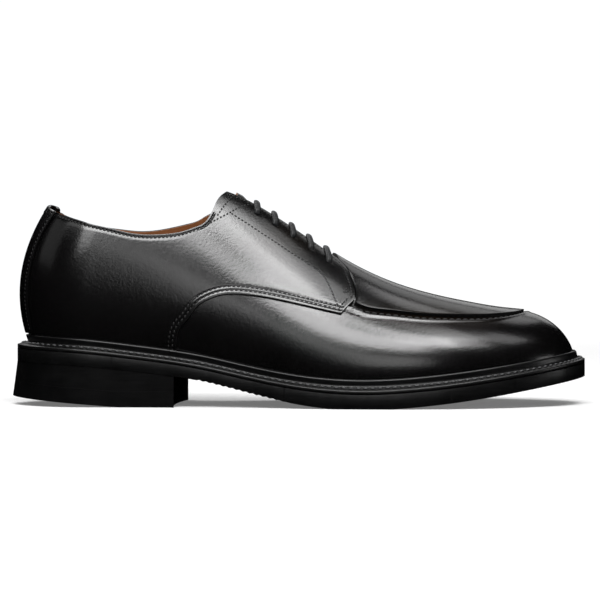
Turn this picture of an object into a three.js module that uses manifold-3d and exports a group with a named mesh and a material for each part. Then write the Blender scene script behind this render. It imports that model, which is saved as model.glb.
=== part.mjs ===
import * as THREE from "three";
import { mergeVertices } from "three/addons/utils/BufferGeometryUtils.js";
import Module from "manifold-3d";

// A right apron-toe derby, in millimetres
// +X points to the toe, +Y to the inner side of the foot and +Z up from the floor.
// The upper, its overlays, the tongue and the welt all follow one function, the last's surface.
// A place on it is a share of the length (at), a turn from the feather line (0) to the ridge (1),
// and a side.

// Sizes of the last
const lastLength = 283.4;
const ballWidth = 90.5;
const instepHeight = 79;
const heelPitch = 21.8;
const toeSpring = 13.8;
const heelRound = 34;
const heelSquareness = 2.1;
const toeRound = 76;
const toeSquareness = 2.15;
const toeSlope = 30.5;
const toeFullness = 1.9;
const backCurve = 14.7;
const backCurveReach = 45;
const backBulgeHeight = 28.7;

// Sizes of the upper
const clearance = 0.3;
const vampWall = 2;
const vampLift = 0.2;
const quarterRaise = 1.4;
const quarterLap = 0.8;
const facingFootShare = 0.5642;
const facingTopShare = 0.3196;
const facingGap = 7.6;
const facingFootOpening = 4.8;
const facingTopOpening = 1.4;
const apronRaise = 1.5;
const apronSeat = 0.35;
const apronGap = 0.6;
const stripThickness = 1.2;
const tongueThickness = 1.8;
const tongueDip = 1.3;
const tongueSeat = 0.8;

// Sizes of the lacing
const laceBars = 5;
const firstEyeletShare = 0.39;
const eyeletPitch = 10.55;
const eyeletInset = 4.6;
const eyeletSpread = 2.6;
const eyeletBore = 4;
const eyeletSides = 10;
const laceThickness = 2.6;
const laceDrop = 1.5;
const laceLean = 1;

// Sizes of the sole
const soleThickness = 7.6;
const floorPress = 0.4;
const welt = { reach: 7.5, lip: 1.5, lipHeight: 7, ledgeHeight: 3.5, ledgeEdge: 2.2 };
const weltCloses = { fromShare: 0.28, byShare: 0.323 };
const insoleThickness = 2.5;
const heelLength = 84.1;
const breastSkew = 3.8;
const breastHollow = 2.5;
const heelInset = 0.4;
const heelFlare = 2.775;
const stackFlareShare = 0.7;
const flareShare = 1 / 3;
const liftThickness = 8;
const heelFlat = 28;
const heelRise = 4.4;

// Sections of the last
// Half widths and mid, the middle line's offset, are shares of ballWidth, and the ridge's rise above the
// seat is a share of instepHeight. Full is how far a side swells out, as a share of its half width.
const sections = [
  { at: 0.0, outer: 0.32, inner: 0.309, mid: 0, outFull: 0.1, inFull: 0.1, square: 2.35, rise: 1.224 },
  { at: 0.12, outer: 0.324, inner: 0.307, mid: 0, outFull: 0.1, inFull: 0.11, square: 2.35, rise: 1.266 },
  { at: 0.25, outer: 0.346, inner: 0.29, mid: 0, outFull: 0.1, inFull: 0.17, square: 2.25, rise: 1.223 },
  { at: 0.4, outer: 0.407, inner: 0.241, mid: 0.011, outFull: 0.1, inFull: 0.3, square: 1.95, rise: 1.13 },
  { at: 0.5, outer: 0.486, inner: 0.282, mid: 0.022, outFull: 0.07, inFull: 0.25, square: 1.8, rise: 0.999 },
  { at: 0.6, outer: 0.547, inner: 0.376, mid: 0.033, outFull: 0.05, inFull: 0.12, square: 1.85, rise: 0.837 },
  { at: 0.7, outer: 0.564, inner: 0.436, mid: 0.039, outFull: 0.05, inFull: 0.06, square: 2.05, rise: 0.682 },
  { at: 0.8, outer: 0.547, inner: 0.453, mid: 0.039, outFull: 0.05, inFull: 0.05, square: 2.2, rise: 0.554 },
  { at: 0.9, outer: 0.529, inner: 0.448, mid: 0.039, outFull: 0.05, inFull: 0.05, square: 2.25, rise: 0.443 },
  { at: 1.0, outer: 0.519, inner: 0.431, mid: 0.039, outFull: 0.05, inFull: 0.05, square: 2.2, rise: 0.351 },
];

// Run of the outsole's upper face, above its place at the ball, as shares of heelPitch and toeSpring
const seats = [
  { at: 0.0, heel: 1, toe: 0 },
  { at: 0.1, heel: 0.917, toe: 0 },
  { at: 0.2, heel: 0.771, toe: 0 },
  { at: 0.3, heel: 0.583, toe: 0 },
  { at: 0.4, heel: 0.303, toe: 0 },
  { at: 0.5, heel: 0.078, toe: 0 },
  { at: 0.6, heel: 0, toe: 0 },
  { at: 0.7, heel: 0, toe: 0.109 },
  { at: 0.8, heel: 0, toe: 0.348 },
  { at: 0.9, heel: 0, toe: 0.659 },
  { at: 1.0, heel: 0, toe: 1 },
];

// How far the welt and outsole stand out from the feather line, as shares of the welt's reach, and
// the outsole's thickness as a share of soleThickness
const margins = [
  { at: 0.0, outer: 1.32, inner: 1.32, thick: 0.84 },
  { at: 0.05, outer: 1.26, inner: 1.2, thick: 0.82 },
  { at: 0.13, outer: 0.99, inner: 0.96, thick: 0.8 },
  { at: 0.28, outer: 0.93, inner: 0.99, thick: 0.76 },
  { at: 0.42, outer: 0.96, inner: 1.05, thick: 0.88 },
  { at: 0.53, outer: 1.03, inner: 0.95, thick: 1 },
  { at: 0.66, outer: 1, inner: 0.91, thick: 1 },
  { at: 0.8, outer: 0.93, inner: 0.91, thick: 0.97 },
  { at: 0.92, outer: 0.83, inner: 0.83, thick: 0.93 },
  { at: 1.0, outer: 0.69, inner: 0.69, thick: 0.92 },
];

// Lower edge of the quarters, from the point of the front tab back and down to the welt
const seamRows = [
  { at: 0.5761, turn: 0.4155 },
  { at: 0.5285, turn: 0.4053 },
  { at: 0.4662, turn: 0.3777 },
  { at: 0.4253, turn: 0.3501 },
  { at: 0.395, turn: 0.3248 },
  { at: 0.3709, turn: 0.2999 },
  { at: 0.3511, turn: 0.2714 },
  { at: 0.3353, turn: 0.2427 },
  { at: 0.3255, turn: 0.2219 },
  { at: 0.3085, turn: 0.1702 },
  { at: 0.2997, turn: 0.1438 },
  { at: 0.2907, turn: 0.1233 },
  { at: 0.2765, turn: 0.0633 },
  { at: 0.268, turn: 0 },
];

// Front edge of the quarters, from the tab's point (rise 0) up to the foot of the facing (rise 1)
const frontRows = [
  { rise: 0, at: 0.5761, turn: 0.4155 },
  { rise: 0.0833, at: 0.5895, turn: 0.475 },
  { rise: 0.1667, at: 0.5988, turn: 0.5165 },
  { rise: 0.25, at: 0.6002, turn: 0.55 },
  { rise: 0.3333, at: 0.5985, turn: 0.585 },
  { rise: 0.5, at: 0.5935, turn: 0.64 },
  { rise: 0.6667, at: 0.5875, turn: 0.697 },
  { rise: 0.8333, at: 0.5795, turn: 0.76 },
  { rise: 1, at: 0.5642, turn: 0.8089 },
];

// Top line of the quarters below the facing's corner, round to the middle of the back
const topRows = [
  { outerAt: 0.3098, outerTurn: 0.745, innerAt: 0.3098, innerTurn: 0.76 },
  { outerAt: 0.308, outerTurn: 0.6605, innerAt: 0.307, innerTurn: 0.69 },
  { outerAt: 0.3075, outerTurn: 0.605, innerAt: 0.303, innerTurn: 0.6365 },
  { outerAt: 0.301, outerTurn: 0.547, innerAt: 0.2945, innerTurn: 0.607 },
  { outerAt: 0.2895, outerTurn: 0.5167, innerAt: 0.282, innerTurn: 0.562 },
  { outerAt: 0.2693, outerTurn: 0.4758, innerAt: 0.264, innerTurn: 0.5255 },
  { outerAt: 0.2374, outerTurn: 0.4383, innerAt: 0.233, innerTurn: 0.4785 },
  { outerAt: 0.1867, outerTurn: 0.4097, innerAt: 0.1854, innerTurn: 0.432 },
  { outerAt: 0.1408, outerTurn: 0.412, innerAt: 0.139, innerTurn: 0.42 },
  { outerAt: 0.1015, outerTurn: 0.4221, innerAt: 0.0998, innerTurn: 0.4235 },
  { outerAt: 0.0585, outerTurn: 0.4478, innerAt: 0.0585, innerTurn: 0.4478 },
  { outerAt: 0.0344, outerTurn: 0.4673, innerAt: 0.0344, innerTurn: 0.4673 },
  { outerAt: 0.012, outerTurn: 0.494, innerAt: 0.012, innerTurn: 0.494 },
  { outerAt: 0, outerTurn: 0.505, innerAt: 0, innerTurn: 0.505 },
];

// Rear edge of the vamp, hidden under the quarters and, at the throat, above the tongue
const vampRearRows = [
  { turn: 0, at: 0.237 },
  { turn: 0.1, at: 0.255 },
  { turn: 0.2, at: 0.283 },
  { turn: 0.3, at: 0.322 },
  { turn: 0.38, at: 0.385 },
  { turn: 0.44, at: 0.47 },
  { turn: 0.5, at: 0.54 },
  { turn: 0.6, at: 0.56 },
  { turn: 0.8, at: 0.558 },
  { turn: 1, at: 0.5615 },
];

// Edge of the apron, from the quarters' tab forward and round the toe
const apronRows = [
  { at: 0.5978, turn: 0.5047 },
  { at: 0.6123, turn: 0.4922 },
  { at: 0.6591, turn: 0.4963 },
  { at: 0.7332, turn: 0.5146 },
  { at: 0.7906, turn: 0.5414 },
  { at: 0.8523, turn: 0.5833 },
  { at: 0.892, turn: 0.634 },
  { at: 0.9286, turn: 0.6963 },
  { at: 0.9617, turn: 0.775 },
  { at: 0.9781, turn: 0.826 },
  { at: 0.9935, turn: 0.882 },
  { at: 1, turn: 0.905 },
];

// Side edge of the tongue, and how far its wall dips under the vamp as a share of tongueDip
const tongueRows = [
  { at: 0.326, turn: 0.74, dip: 0 },
  { at: 0.4, turn: 0.68, dip: 0 },
  { at: 0.5, turn: 0.66, dip: 0.1 },
  { at: 0.54, turn: 0.68, dip: 0.95 },
  { at: 0.56, turn: 0.69, dip: 1 },
  { at: 0.598, turn: 0.7, dip: 1 },
];

// Half width of the back strip along its height, as shares of lastLength
const stripRows = [
  { rise: 0, at: 0.0175 },
  { rise: 0.5, at: 0.0185 },
  { rise: 0.85, at: 0.0235 },
  { rise: 1, at: 0.028 },
];

const OUTER = -1;
const INNER = 1;

// A side's swell is fullest a third of the way up, where climb * (1 - climb)^2 is greatest
const swellPeak = 4 / 27;

// Where a run and a turn are this close to 1, the surface is at the toe's very tip
const tipShare = 0.998;

const wasm = await Module();
wasm.setup();

// Curves through tables

// Natural cubic through the rows, with straight ends beyond them
function curve(rows, value, along = "at") {
  const last = rows.length - 1;
  const x = rows.map((row) => row[along]);
  const y = rows.map((row) => row[value]);
  const bend = new Array(rows.length).fill(0);
  const load = new Array(rows.length).fill(0);
  const slope = (i) => (y[i + 1] - y[i]) / (x[i + 1] - x[i]);
  for (let i = 1; i < last; i++) {
    const ratio = (x[i] - x[i - 1]) / (x[i + 1] - x[i - 1]);
    const pivot = ratio * bend[i - 1] + 2;
    bend[i] = (ratio - 1) / pivot;
    load[i] = ((6 * (slope(i) - slope(i - 1))) / (x[i + 1] - x[i - 1]) - ratio * load[i - 1]) / pivot;
  }
  for (let i = last - 1; i >= 0; i--) bend[i] = bend[i] * bend[i + 1] + load[i];
  const startSlope = slope(0) - ((x[1] - x[0]) * bend[1]) / 6;
  const endSlope = slope(last - 1) + ((x[last] - x[last - 1]) * bend[last - 1]) / 6;
  return (at) => {
    if (at <= x[0]) return y[0] + startSlope * (at - x[0]);
    if (at >= x[last]) return y[last] + endSlope * (at - x[last]);
    let i = 0;
    while (at > x[i + 1]) i += 1;
    const step = x[i + 1] - x[i];
    const a = (x[i + 1] - at) / step;
    const b = (at - x[i]) / step;
    const bent = (a ** 3 - a) * bend[i] + (b ** 3 - b) * bend[i + 1];
    return a * y[i] + b * y[i + 1] + (bent * step ** 2) / 6;
  };
}

// One curve for each named column of a table
function curves(rows, along = "at") {
  const names = Object.keys(rows[0]).filter((name) => name !== along);
  return Object.fromEntries(names.map((name) => [name, curve(rows, name, along)]));
}

function lerp(a, b, share) {
  return a + (b - a) * share;
}

// The value between low and high at which a rising function passes the target
function solve(rising, target, low, high) {
  for (let i = 0; i < 50; i++) {
    const middle = (low + high) / 2;
    if (rising(middle) < target) low = middle;
    else high = middle;
  }
  return (low + high) / 2;
}

// The last's surface

const section = curves(sections);
const seat = curves(seats);
const margin = curves(margins);

// A run is even steps round the shoe's ends: the share of the length closes up at heel and toe
function shareOf(run) {
  return (1 - Math.cos(Math.PI * run)) / 2;
}

function runOf(at) {
  return Math.acos(1 - 2 * Math.min(1, Math.max(0, at))) / Math.PI;
}

function seatHeight(at) {
  return soleThickness - floorPress + heelPitch * seat.heel(at) + toeSpring * seat.toe(at);
}

// How far the back leans forward at a height above the feather line
function backLean(height) {
  return backCurve * ((height - backBulgeHeight) / backCurveReach) ** 2;
}

const featherBack = backLean(0);
const featherTip = featherBack + lastLength;

// Height of the outsole's upper face at a place along the shoe
function seatAt(x) {
  return seatHeight((x - featherBack) / lastLength);
}

// Share of its full width that the shoe keeps as heel and toe round off
function roundOff(at) {
  const heel = Math.max(0, 1 - (at * lastLength) / heelRound);
  const toe = Math.max(0, 1 - ((1 - at) * lastLength) / toeRound);
  const heelKept = Math.max(0, 1 - heel ** heelSquareness) ** (1 / heelSquareness);
  return heelKept * Math.max(0, 1 - toe ** toeSquareness) ** (1 / toeSquareness);
}

function halfWidth(at, side) {
  return ballWidth * (side === OUTER ? section.outer(at) : section.inner(at)) * roundOff(at);
}

function ridgeRise(at) {
  return instepHeight * section.rise(at);
}

function lastPoint(run, turn, side) {
  const at = shareOf(run);
  const power = 2 / section.square(at);
  const climb = Math.max(0, Math.sin((turn * Math.PI) / 2)) ** power;
  const spread = Math.max(0, Math.cos((turn * Math.PI) / 2)) ** power;
  const full = side === OUTER ? section.outFull(at) : section.inFull(at);
  const swell = (full * climb * (1 - climb) ** 2) / swellPeak;
  const toeX = featherTip - toeSlope * (1 - Math.max(0, 1 - climb ** toeFullness) ** (1 / toeFullness));
  return new THREE.Vector3(
    lerp(backLean(ridgeRise(0) * climb), toeX, at),
    ballWidth * section.mid(at) + side * halfWidth(at, side) * (spread + swell),
    seatHeight(at) + clearance + ridgeRise(at) * climb,
  );
}

// Outward normal on one side, from two short steps on the surface
function sideNormal(run, turn, side) {
  const step = 1e-4;
  const along = lastPoint(Math.min(1, run + step), turn, side);
  along.sub(lastPoint(Math.max(0, run - step), turn, side));
  const up = lastPoint(run, Math.min(1, turn + step), side);
  up.sub(lastPoint(run, Math.max(0, turn - step), side));
  return along.cross(up).multiplyScalar(-side).normalize();
}

// Outward normal, evened out where the two sides meet
function lastNormal(run, turn, side) {
  const edge = 1e-9;
  if (run > tipShare && turn > tipShare) return new THREE.Vector3(0, 0, 1);
  if (run > edge && run < 1 - edge && turn < 1 - edge) return sideNormal(run, turn, side);
  return sideNormal(run, turn, OUTER).add(sideNormal(run, turn, INNER)).normalize();
}

// A point at a distance outside the last
function skin(run, turn, side, offset) {
  return lastPoint(run, turn, side).addScaledVector(lastNormal(run, turn, side), offset);
}

// Turn of the surface at a height above the feather line
function turnAtHeight(run, height) {
  const at = shareOf(run);
  const climb = Math.min(1, height / ridgeRise(at));
  return (Math.asin(climb ** (section.square(at) / 2)) * 2) / Math.PI;
}

// Turn of the surface at a distance beside the ridge
function turnBesideRidge(run, side, distance) {
  const ridge = lastPoint(run, 1, side).y;
  return solve((turn) => side * (ridge - lastPoint(run, turn, side).y), -distance, 0.5, 1);
}

// Solids

// A geometry with shared vertices, no empty triangles and its faces pointing out
function tidy(points, triangles) {
  const loose = new THREE.BufferGeometry().setFromPoints(points);
  loose.setIndex(triangles.flat());
  const merged = mergeVertices(loose, 1e-4);
  const corners = merged.index.array;
  const place = (i) => new THREE.Vector3().fromBufferAttribute(merged.attributes.position, i);
  const kept = [];
  let volume = 0;
  for (let i = 0; i < corners.length; i += 3) {
    const [a, b, c] = [corners[i], corners[i + 1], corners[i + 2]];
    if (a === b || b === c || c === a) continue;
    kept.push([a, b, c]);
    volume += place(a).dot(place(b).cross(place(c)));
  }
  merged.setIndex(kept.flatMap(([a, b, c]) => (volume < 0 ? [a, c, b] : [a, b, c])));
  merged.computeVertexNormals();
  return merged;
}

// A closed solid between two grids of points, walled round their edges
// Where the far row closes on itself, as at the toe, it needs no wall.
function between(top, bottom, farRowCloses = false) {
  const rows = top.length;
  const columns = top[0].length;
  const far = rows - 1;
  const side = columns - 1;
  const points = [...top.flat(), ...bottom.flat()];
  const triangles = [];
  const index = (layer, i, j) => (layer * rows + i) * columns + j;
  const quad = (a, b, c, d) => triangles.push([a, b, c], [a, c, d]);
  for (let i = 0; i + 1 < rows; i++) {
    for (let j = 0; j + 1 < columns; j++) {
      quad(index(0, i, j), index(0, i, j + 1), index(0, i + 1, j + 1), index(0, i + 1, j));
      quad(index(1, i + 1, j), index(1, i + 1, j + 1), index(1, i, j + 1), index(1, i, j));
    }
    quad(index(0, i, 0), index(0, i + 1, 0), index(1, i + 1, 0), index(1, i, 0));
    quad(index(1, i, side), index(1, i + 1, side), index(0, i + 1, side), index(0, i, side));
  }
  for (let j = 0; j + 1 < columns; j++) {
    quad(index(1, 0, j), index(1, 0, j + 1), index(0, 0, j + 1), index(0, 0, j));
    if (farRowCloses) continue;
    quad(index(0, far, j), index(0, far, j + 1), index(1, far, j + 1), index(1, far, j));
  }
  return tidy(points, triangles);
}

function grid(rows, columns, point) {
  const shares = (count) => Array.from({ length: count + 1 }, (_, i) => i / count);
  return shares(rows).map((i) => shares(columns).map((j) => point(i, j)));
}

// A wall that follows the last between two offsets
// place gives run, turn and side for a share of the rows and of the columns. Offsets are numbers or
// functions of the place, and rimLift is the height of a feather-line rim above the last's.
function wall({ rows, columns, place, outside, inside, rimLift = 0, toeCloses = false }) {
  const layer = (offset) =>
    grid(rows, columns, (i, j) => {
      const { run, turn, side } = place(i, j);
      const point = skin(run, turn, side, typeof offset === "number" ? offset : offset(run));
      if (turn < 1e-6) point.z = seatHeight(shareOf(run)) + clearance + rimLift;
      return point;
    });
  return between(layer(outside), layer(inside), toeCloses);
}

function solidOf(geometry) {
  const bare = geometry.clone();
  for (const name of Object.keys(bare.attributes)) {
    if (name !== "position") bare.deleteAttribute(name);
  }
  const merged = mergeVertices(bare, 1e-4);
  const mesh = { numProp: 3, vertProperties: merged.attributes.position.array };
  return new wasm.Manifold(new wasm.Mesh({ ...mesh, triVerts: new Uint32Array(merged.index.array) }));
}

function geometryOf(solid) {
  const mesh = solid.getMesh();
  const geometry = new THREE.BufferGeometry();
  geometry.setAttribute("position", new THREE.BufferAttribute(mesh.vertProperties, mesh.numProp));
  geometry.setIndex(new THREE.BufferAttribute(mesh.triVerts, 1));
  geometry.computeVertexNormals();
  return geometry;
}

// Quarters

const vampRear = curve(vampRearRows, "at", "turn");
const frontEdge = curves(frontRows, "rise");
const apronEdge = curve(
  apronRows.map(({ at, turn }) => ({ run: runOf(at), turn })),
  "turn",
  "run",
);

// A smooth line over the last through places on it, run at an even pace
function strand(places, side) {
  let travelled = 0;
  const knots = places.map(({ run, turn }, i) => {
    if (i > 0) {
      const before = lastPoint(places[i - 1].run, places[i - 1].turn, side);
      travelled += lastPoint(run, turn, side).distanceTo(before);
    }
    return { travelled, run, turn };
  });
  const run = curve(knots, "run", "travelled");
  const turn = curve(knots, "turn", "travelled");
  return (share) => ({ run: Math.max(0, run(share * travelled)), turn: turn(share * travelled) });
}

const seam = strand(
  seamRows.map(({ at, turn }) => ({ run: runOf(at), turn })),
  OUTER,
);

// Half the gap between the facings, which opens towards the foot and a little towards the top
function gapAt(run) {
  const share = (shareOf(run) - facingFootShare) / (facingTopShare - facingFootShare);
  return facingGap + facingFootOpening * (1 - share) ** 6 + facingTopOpening * share ** 6;
}

function facingEdge(share, side) {
  const run = runOf(lerp(facingFootShare, facingTopShare, share));
  return { run, turn: turnBesideRidge(run, side, gapAt(run)) };
}

function topLineOf(side) {
  const rows = topRows.map((row) => ({
    run: runOf(side === OUTER ? row.outerAt : row.innerAt),
    turn: side === OUTER ? row.outerTurn : row.innerTurn,
  }));
  return strand([facingEdge(1, side), ...rows], side);
}

const topLine = { [OUTER]: topLineOf(OUTER), [INNER]: topLineOf(INNER) };
const quarter = { rows: 12, facing: 7, top: 15, seam: 12, feather: 10, curvedShare: 0.6 };
quarter.columns = quarter.facing + quarter.top;

// Upper and lower ends of a column of the quarters, counted from the front edge to the back
function quarterTop(column, side) {
  if (column <= quarter.facing) return facingEdge(column / quarter.facing, side);
  return topLine[side]((column - quarter.facing) / quarter.top);
}

function quarterFoot(column) {
  if (column <= quarter.seam) {
    const { run, turn } = seam(column / quarter.seam);
    return { run, turn: column === quarter.seam ? 0 : turn };
  }
  const share = (column - quarter.seam) / quarter.feather;
  return { run: lerp(seam(1).run, 0, share), turn: 0 };
}

// A place on the quarters: rise from their lower edge, and share from one front edge round the back
// to the other. The first columns keep part of the front edge's curve.
function quarterPlace(rise, round) {
  const side = round < 0.5 ? OUTER : INNER;
  const column = (1 - Math.abs(2 * round - 1)) * quarter.columns;
  const top = quarterTop(column, side);
  const foot = quarterFoot(column);
  const kept = Math.max(0, 1 - column / (quarter.curvedShare * quarter.facing)) ** 2;
  const front = { run: runOf(frontEdge.at(rise)), turn: frontEdge.turn(rise) };
  const frontRun = front.run - lerp(runOf(frontEdge.at(0)), runOf(frontEdge.at(1)), rise);
  const frontTurn = front.turn - lerp(frontEdge.turn(0), frontEdge.turn(1), rise);
  return {
    run: lerp(foot.run, top.run, rise) + kept * frontRun,
    turn: lerp(foot.turn, top.turn, rise) + kept * frontTurn,
    side,
  };
}

function vampPlace(forward, across) {
  const side = across < 0.5 ? OUTER : INNER;
  const turn = 1 - Math.abs(2 * across - 1);
  const rear = runOf(vampRear(turn));
  return { run: lerp(rear, 1, forward), turn, side };
}

// Upper

// The run at which the ridge has come a distance from the back
function runAlongRidge(distance, side) {
  return solve((run) => lastPoint(run, 1, side).x, distance, 0.2, 0.9);
}

// The eyelets of one side run down the facing, each a little farther from its edge than the last
function eyeletPlaces(side) {
  const ridge = (share) => lastPoint(runOf(share), 1, side);
  const slope = ridge(firstEyeletShare).sub(ridge(facingFootShare)).normalize();
  return Array.from({ length: laceBars }, (_, i) => {
    const reach = ridge(firstEyeletShare).x + i * eyeletPitch * Math.abs(slope.x);
    const run = runAlongRidge(reach, side);
    const inset = eyeletInset + (eyeletSpread * i) / (laceBars - 1);
    return { run, turn: turnBesideRidge(run, side, gapAt(run) + inset), side };
  });
}

function eyeletPunch({ run, turn, side }) {
  const reach = 4 * (quarterRaise + quarterLap);
  const punch = new THREE.CylinderGeometry(eyeletBore / 2, eyeletBore / 2, reach, eyeletSides);
  const normal = lastNormal(run, turn, side);
  punch.applyQuaternion(new THREE.Quaternion().setFromUnitVectors(new THREE.Vector3(0, 1, 0), normal));
  const centre = lastPoint(run, turn, side);
  return solidOf(punch.translate(centre.x, centre.y, centre.z));
}

// One hollow wall: vamp and quarters joined where the quarters lap over, open at collar and throat
// and underneath, with the eyelets punched
function upper() {
  const vamp = wall({
    rows: 22,
    columns: 22,
    place: vampPlace,
    outside: 0,
    inside: -vampWall,
    rimLift: vampLift,
    toeCloses: true,
  });
  const quarters = wall({
    rows: quarter.rows,
    columns: 2 * quarter.columns,
    place: quarterPlace,
    outside: quarterRaise,
    inside: -quarterLap,
  });
  let joined = solidOf(vamp).add(solidOf(quarters));
  for (const place of [...eyeletPlaces(OUTER), ...eyeletPlaces(INNER)]) {
    joined = joined.subtract(eyeletPunch(place));
  }
  return geometryOf(joined);
}

// Overlays and tongue

const frontByTurn = curve(
  frontRows.filter(({ rise }) => rise > 0.1),
  "at",
  "turn",
);

// The apron stands on the vamp, from just before the quarters to the toe
function apronPlace(forward, across) {
  const side = across < 0.5 ? OUTER : INNER;
  const out = Math.abs(2 * across - 1);
  const rearAt = (turn) => runOf(Math.max(frontByTurn(turn), facingFootShare) + apronGap / lastLength);
  const edgeRear = rearAt(apronRows[0].turn);
  const edge = apronEdge(lerp(edgeRear, 1, forward));
  const turn = lerp(1, edge, out);
  const rear = rearAt(lerp(1, apronEdge(edgeRear), out));
  return { run: lerp(rear, 1, forward), turn, side };
}

function apron() {
  const shape = { rows: 20, columns: 16, place: apronPlace, toeCloses: true };
  return wall({ ...shape, outside: apronRaise, inside: apronSeat });
}

const tongueEdge = curves(tongueRows);

function tonguePlace(forward, across) {
  const side = across < 0.5 ? OUTER : INNER;
  const at = lerp(tongueRows[0].at, tongueRows.at(-1).at, forward);
  return { run: runOf(at), turn: lerp(1, tongueEdge.turn(at), Math.abs(2 * across - 1)), side };
}

function tongue() {
  const top = (run) => -quarterLap - tongueSeat - tongueDip * tongueEdge.dip(shareOf(run));
  const shape = { rows: 14, columns: 10, place: tonguePlace };
  return wall({ ...shape, outside: top, inside: (run) => top(run) - tongueThickness });
}

const stripEdge = curve(stripRows, "at", "rise");

function stripPlace(rise, round) {
  const side = round < 0.5 ? OUTER : INNER;
  const out = Math.abs(2 * round - 1);
  const run = runOf(stripEdge(rise)) * out;
  const low = turnAtHeight(run, welt.lipHeight + stripThickness + 2 * clearance);
  const share = solve((value) => -topLine[side](value).run, -run, 0.5, 1);
  return { run, turn: lerp(low, topLine[side](share).turn, rise), side };
}

function backStrip() {
  const inside = quarterRaise + clearance;
  const shape = { rows: 9, columns: 8, place: stripPlace };
  return wall({ ...shape, outside: inside + stripThickness, inside });
}

// Sole

// A point on the level line round the shoe, at a distance outside the feather line
function featherOut(run, side, distance) {
  const normal = lastNormal(run, 0, side).setZ(0).normalize();
  return lastPoint(run, 0, side).addScaledVector(normal, distance);
}

function soleReach(run, side) {
  const at = shareOf(run);
  return welt.reach * (side === OUTER ? margin.outer(at) : margin.inner(at));
}

function soleEdge(run, side, inset = 0) {
  return featherOut(run, side, soleReach(run, side) - inset);
}

const soleBack = soleEdge(0, OUTER).x;

function soleUnderside(x) {
  const at = (x - featherBack) / lastLength;
  const thickness = soleThickness * margin.thick(Math.min(1, Math.max(0, at)));
  return Math.max(0, seatAt(x) - thickness);
}

// A flat-sided plate: outline gives a point for a share of the length and a side, across which its
// two faces are straight, and top and bottom give their heights along the shoe
function plate({ steps, outline, top, bottom }) {
  const face = (height) =>
    grid(steps, 2, (along, across) => {
      const outer = outline(along, OUTER);
      const inner = outline(along, INNER);
      const point = outer.clone().lerp(inner, across);
      return point.setZ(height(point));
    });
  return between(face(top), face(bottom));
}

function outsole() {
  return plate({
    steps: 44,
    outline: (along, side) => soleEdge(along, side),
    top: ({ x }) => seatAt(x),
    bottom: ({ x }) => soleUnderside(x),
  });
}

function insole() {
  const inset = Math.max(vampWall, quarterLap) + clearance;
  return plate({
    steps: 32,
    outline: (along, side) => featherOut(along, side, -inset),
    top: ({ x }) => seatAt(x) + clearance + insoleThickness,
    bottom: ({ x }) => seatAt(x) + clearance,
  });
}

// Profile of the welt at one place: a lip against the upper, and a ledge that carries the stitches
// Behind weltCloses the lip stands off by the quarters' thickness, which laps over the vamp there.
function weltProfile(run, side) {
  const at = shareOf(run);
  const covered = 1 - THREE.MathUtils.smoothstep(at, weltCloses.fromShare, weltCloses.byShare);
  const away = quarterRaise * covered + clearance;
  const out = lastNormal(run, 0, side).setZ(0).normalize();
  const inner = (height) => {
    const point = skin(run, turnAtHeight(run, height), side, away);
    return point.setZ(seatAt(point.x) + clearance + height);
  };
  const edge = soleEdge(run, side);
  const edgeAt = (height) => edge.clone().setZ(seatAt(edge.x) + height);
  const lipMiddle = inner(welt.ledgeHeight);
  const lipTop = inner(welt.lipHeight);
  const lipOut = (point) => point.clone().addScaledVector(out, welt.lip);
  return [
    edgeAt(clearance),
    edgeAt(welt.ledgeEdge),
    lipOut(lipMiddle),
    lipOut(lipTop),
    lipTop,
    lipMiddle,
    inner(0),
  ];
}

function weltRing() {
  const steps = 38;
  const stations = [];
  for (let i = 0; i < steps; i++) stations.push(weltProfile(i / steps, OUTER));
  for (let i = steps; i > 0; i--) stations.push(weltProfile(i / steps, INNER));
  const corners = stations[0].length;
  const triangles = [];
  stations.forEach((_, i) => {
    const next = (i + 1) % stations.length;
    for (let j = 0; j < corners; j++) {
      const k = (j + 1) % corners;
      const [a, b] = [i * corners + j, i * corners + k];
      const [c, d] = [next * corners + k, next * corners + j];
      triangles.push([a, b, c], [a, c, d]);
    }
  });
  return tidy(stations.flat(), triangles);
}

// Heel

const heelSteps = { along: 16, across: 4 };

// Height of the heel's underside: flat from the breast back, then rising a little to the rear
function heelUnderside(x) {
  const flatFrom = soleBack + heelLength - heelFlat;
  return heelRise * Math.max(0, (flatFrom - x) / (flatFrom - soleBack));
}

// The heel's outline runs inside the outsole's and widens downwards at the back
function heelOutline(along, side, flare) {
  const breast = soleBack + heelLength + (side === INNER ? breastSkew : 0);
  const last = solve((run) => soleEdge(run, side, heelInset).x, breast, 0, 0.6);
  const point = soleEdge(last * along, side, heelInset);
  point.x -= flare * Math.max(0, 1 - along / flareShare);
  return point;
}

function heelPiece(top, bottom, topFlare, bottomFlare) {
  const face = (height, flare) =>
    grid(heelSteps.along, heelSteps.across, (along, across) => {
      const outer = heelOutline(along, OUTER, flare);
      const inner = heelOutline(along, INNER, flare);
      const point = outer.clone().lerp(inner, across);
      point.x -= breastHollow * along ** 6 * (1 - (2 * across - 1) ** 2);
      return point.setZ(height(point.x));
    });
  return between(face(top, topFlare), face(bottom, bottomFlare));
}

function heelStack() {
  const top = (x) => soleUnderside(x) - clearance;
  const bottom = (x) => heelUnderside(x) + liftThickness + clearance;
  return heelPiece(top, bottom, 0, heelFlare * stackFlareShare);
}

function topLift() {
  const top = (x) => heelUnderside(x) + liftThickness;
  return heelPiece(top, heelUnderside, heelFlare * stackFlareShare, heelFlare);
}

// Laces

// Where a bar leaves its eyelet and where it meets the facing, as shares of the way to the edge, and
// how high it is at the first, as a share of its height over the facing
const laceBend = { startShare: 0.12, heightShare: 0.8, flatShare: 0.45 };

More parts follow.
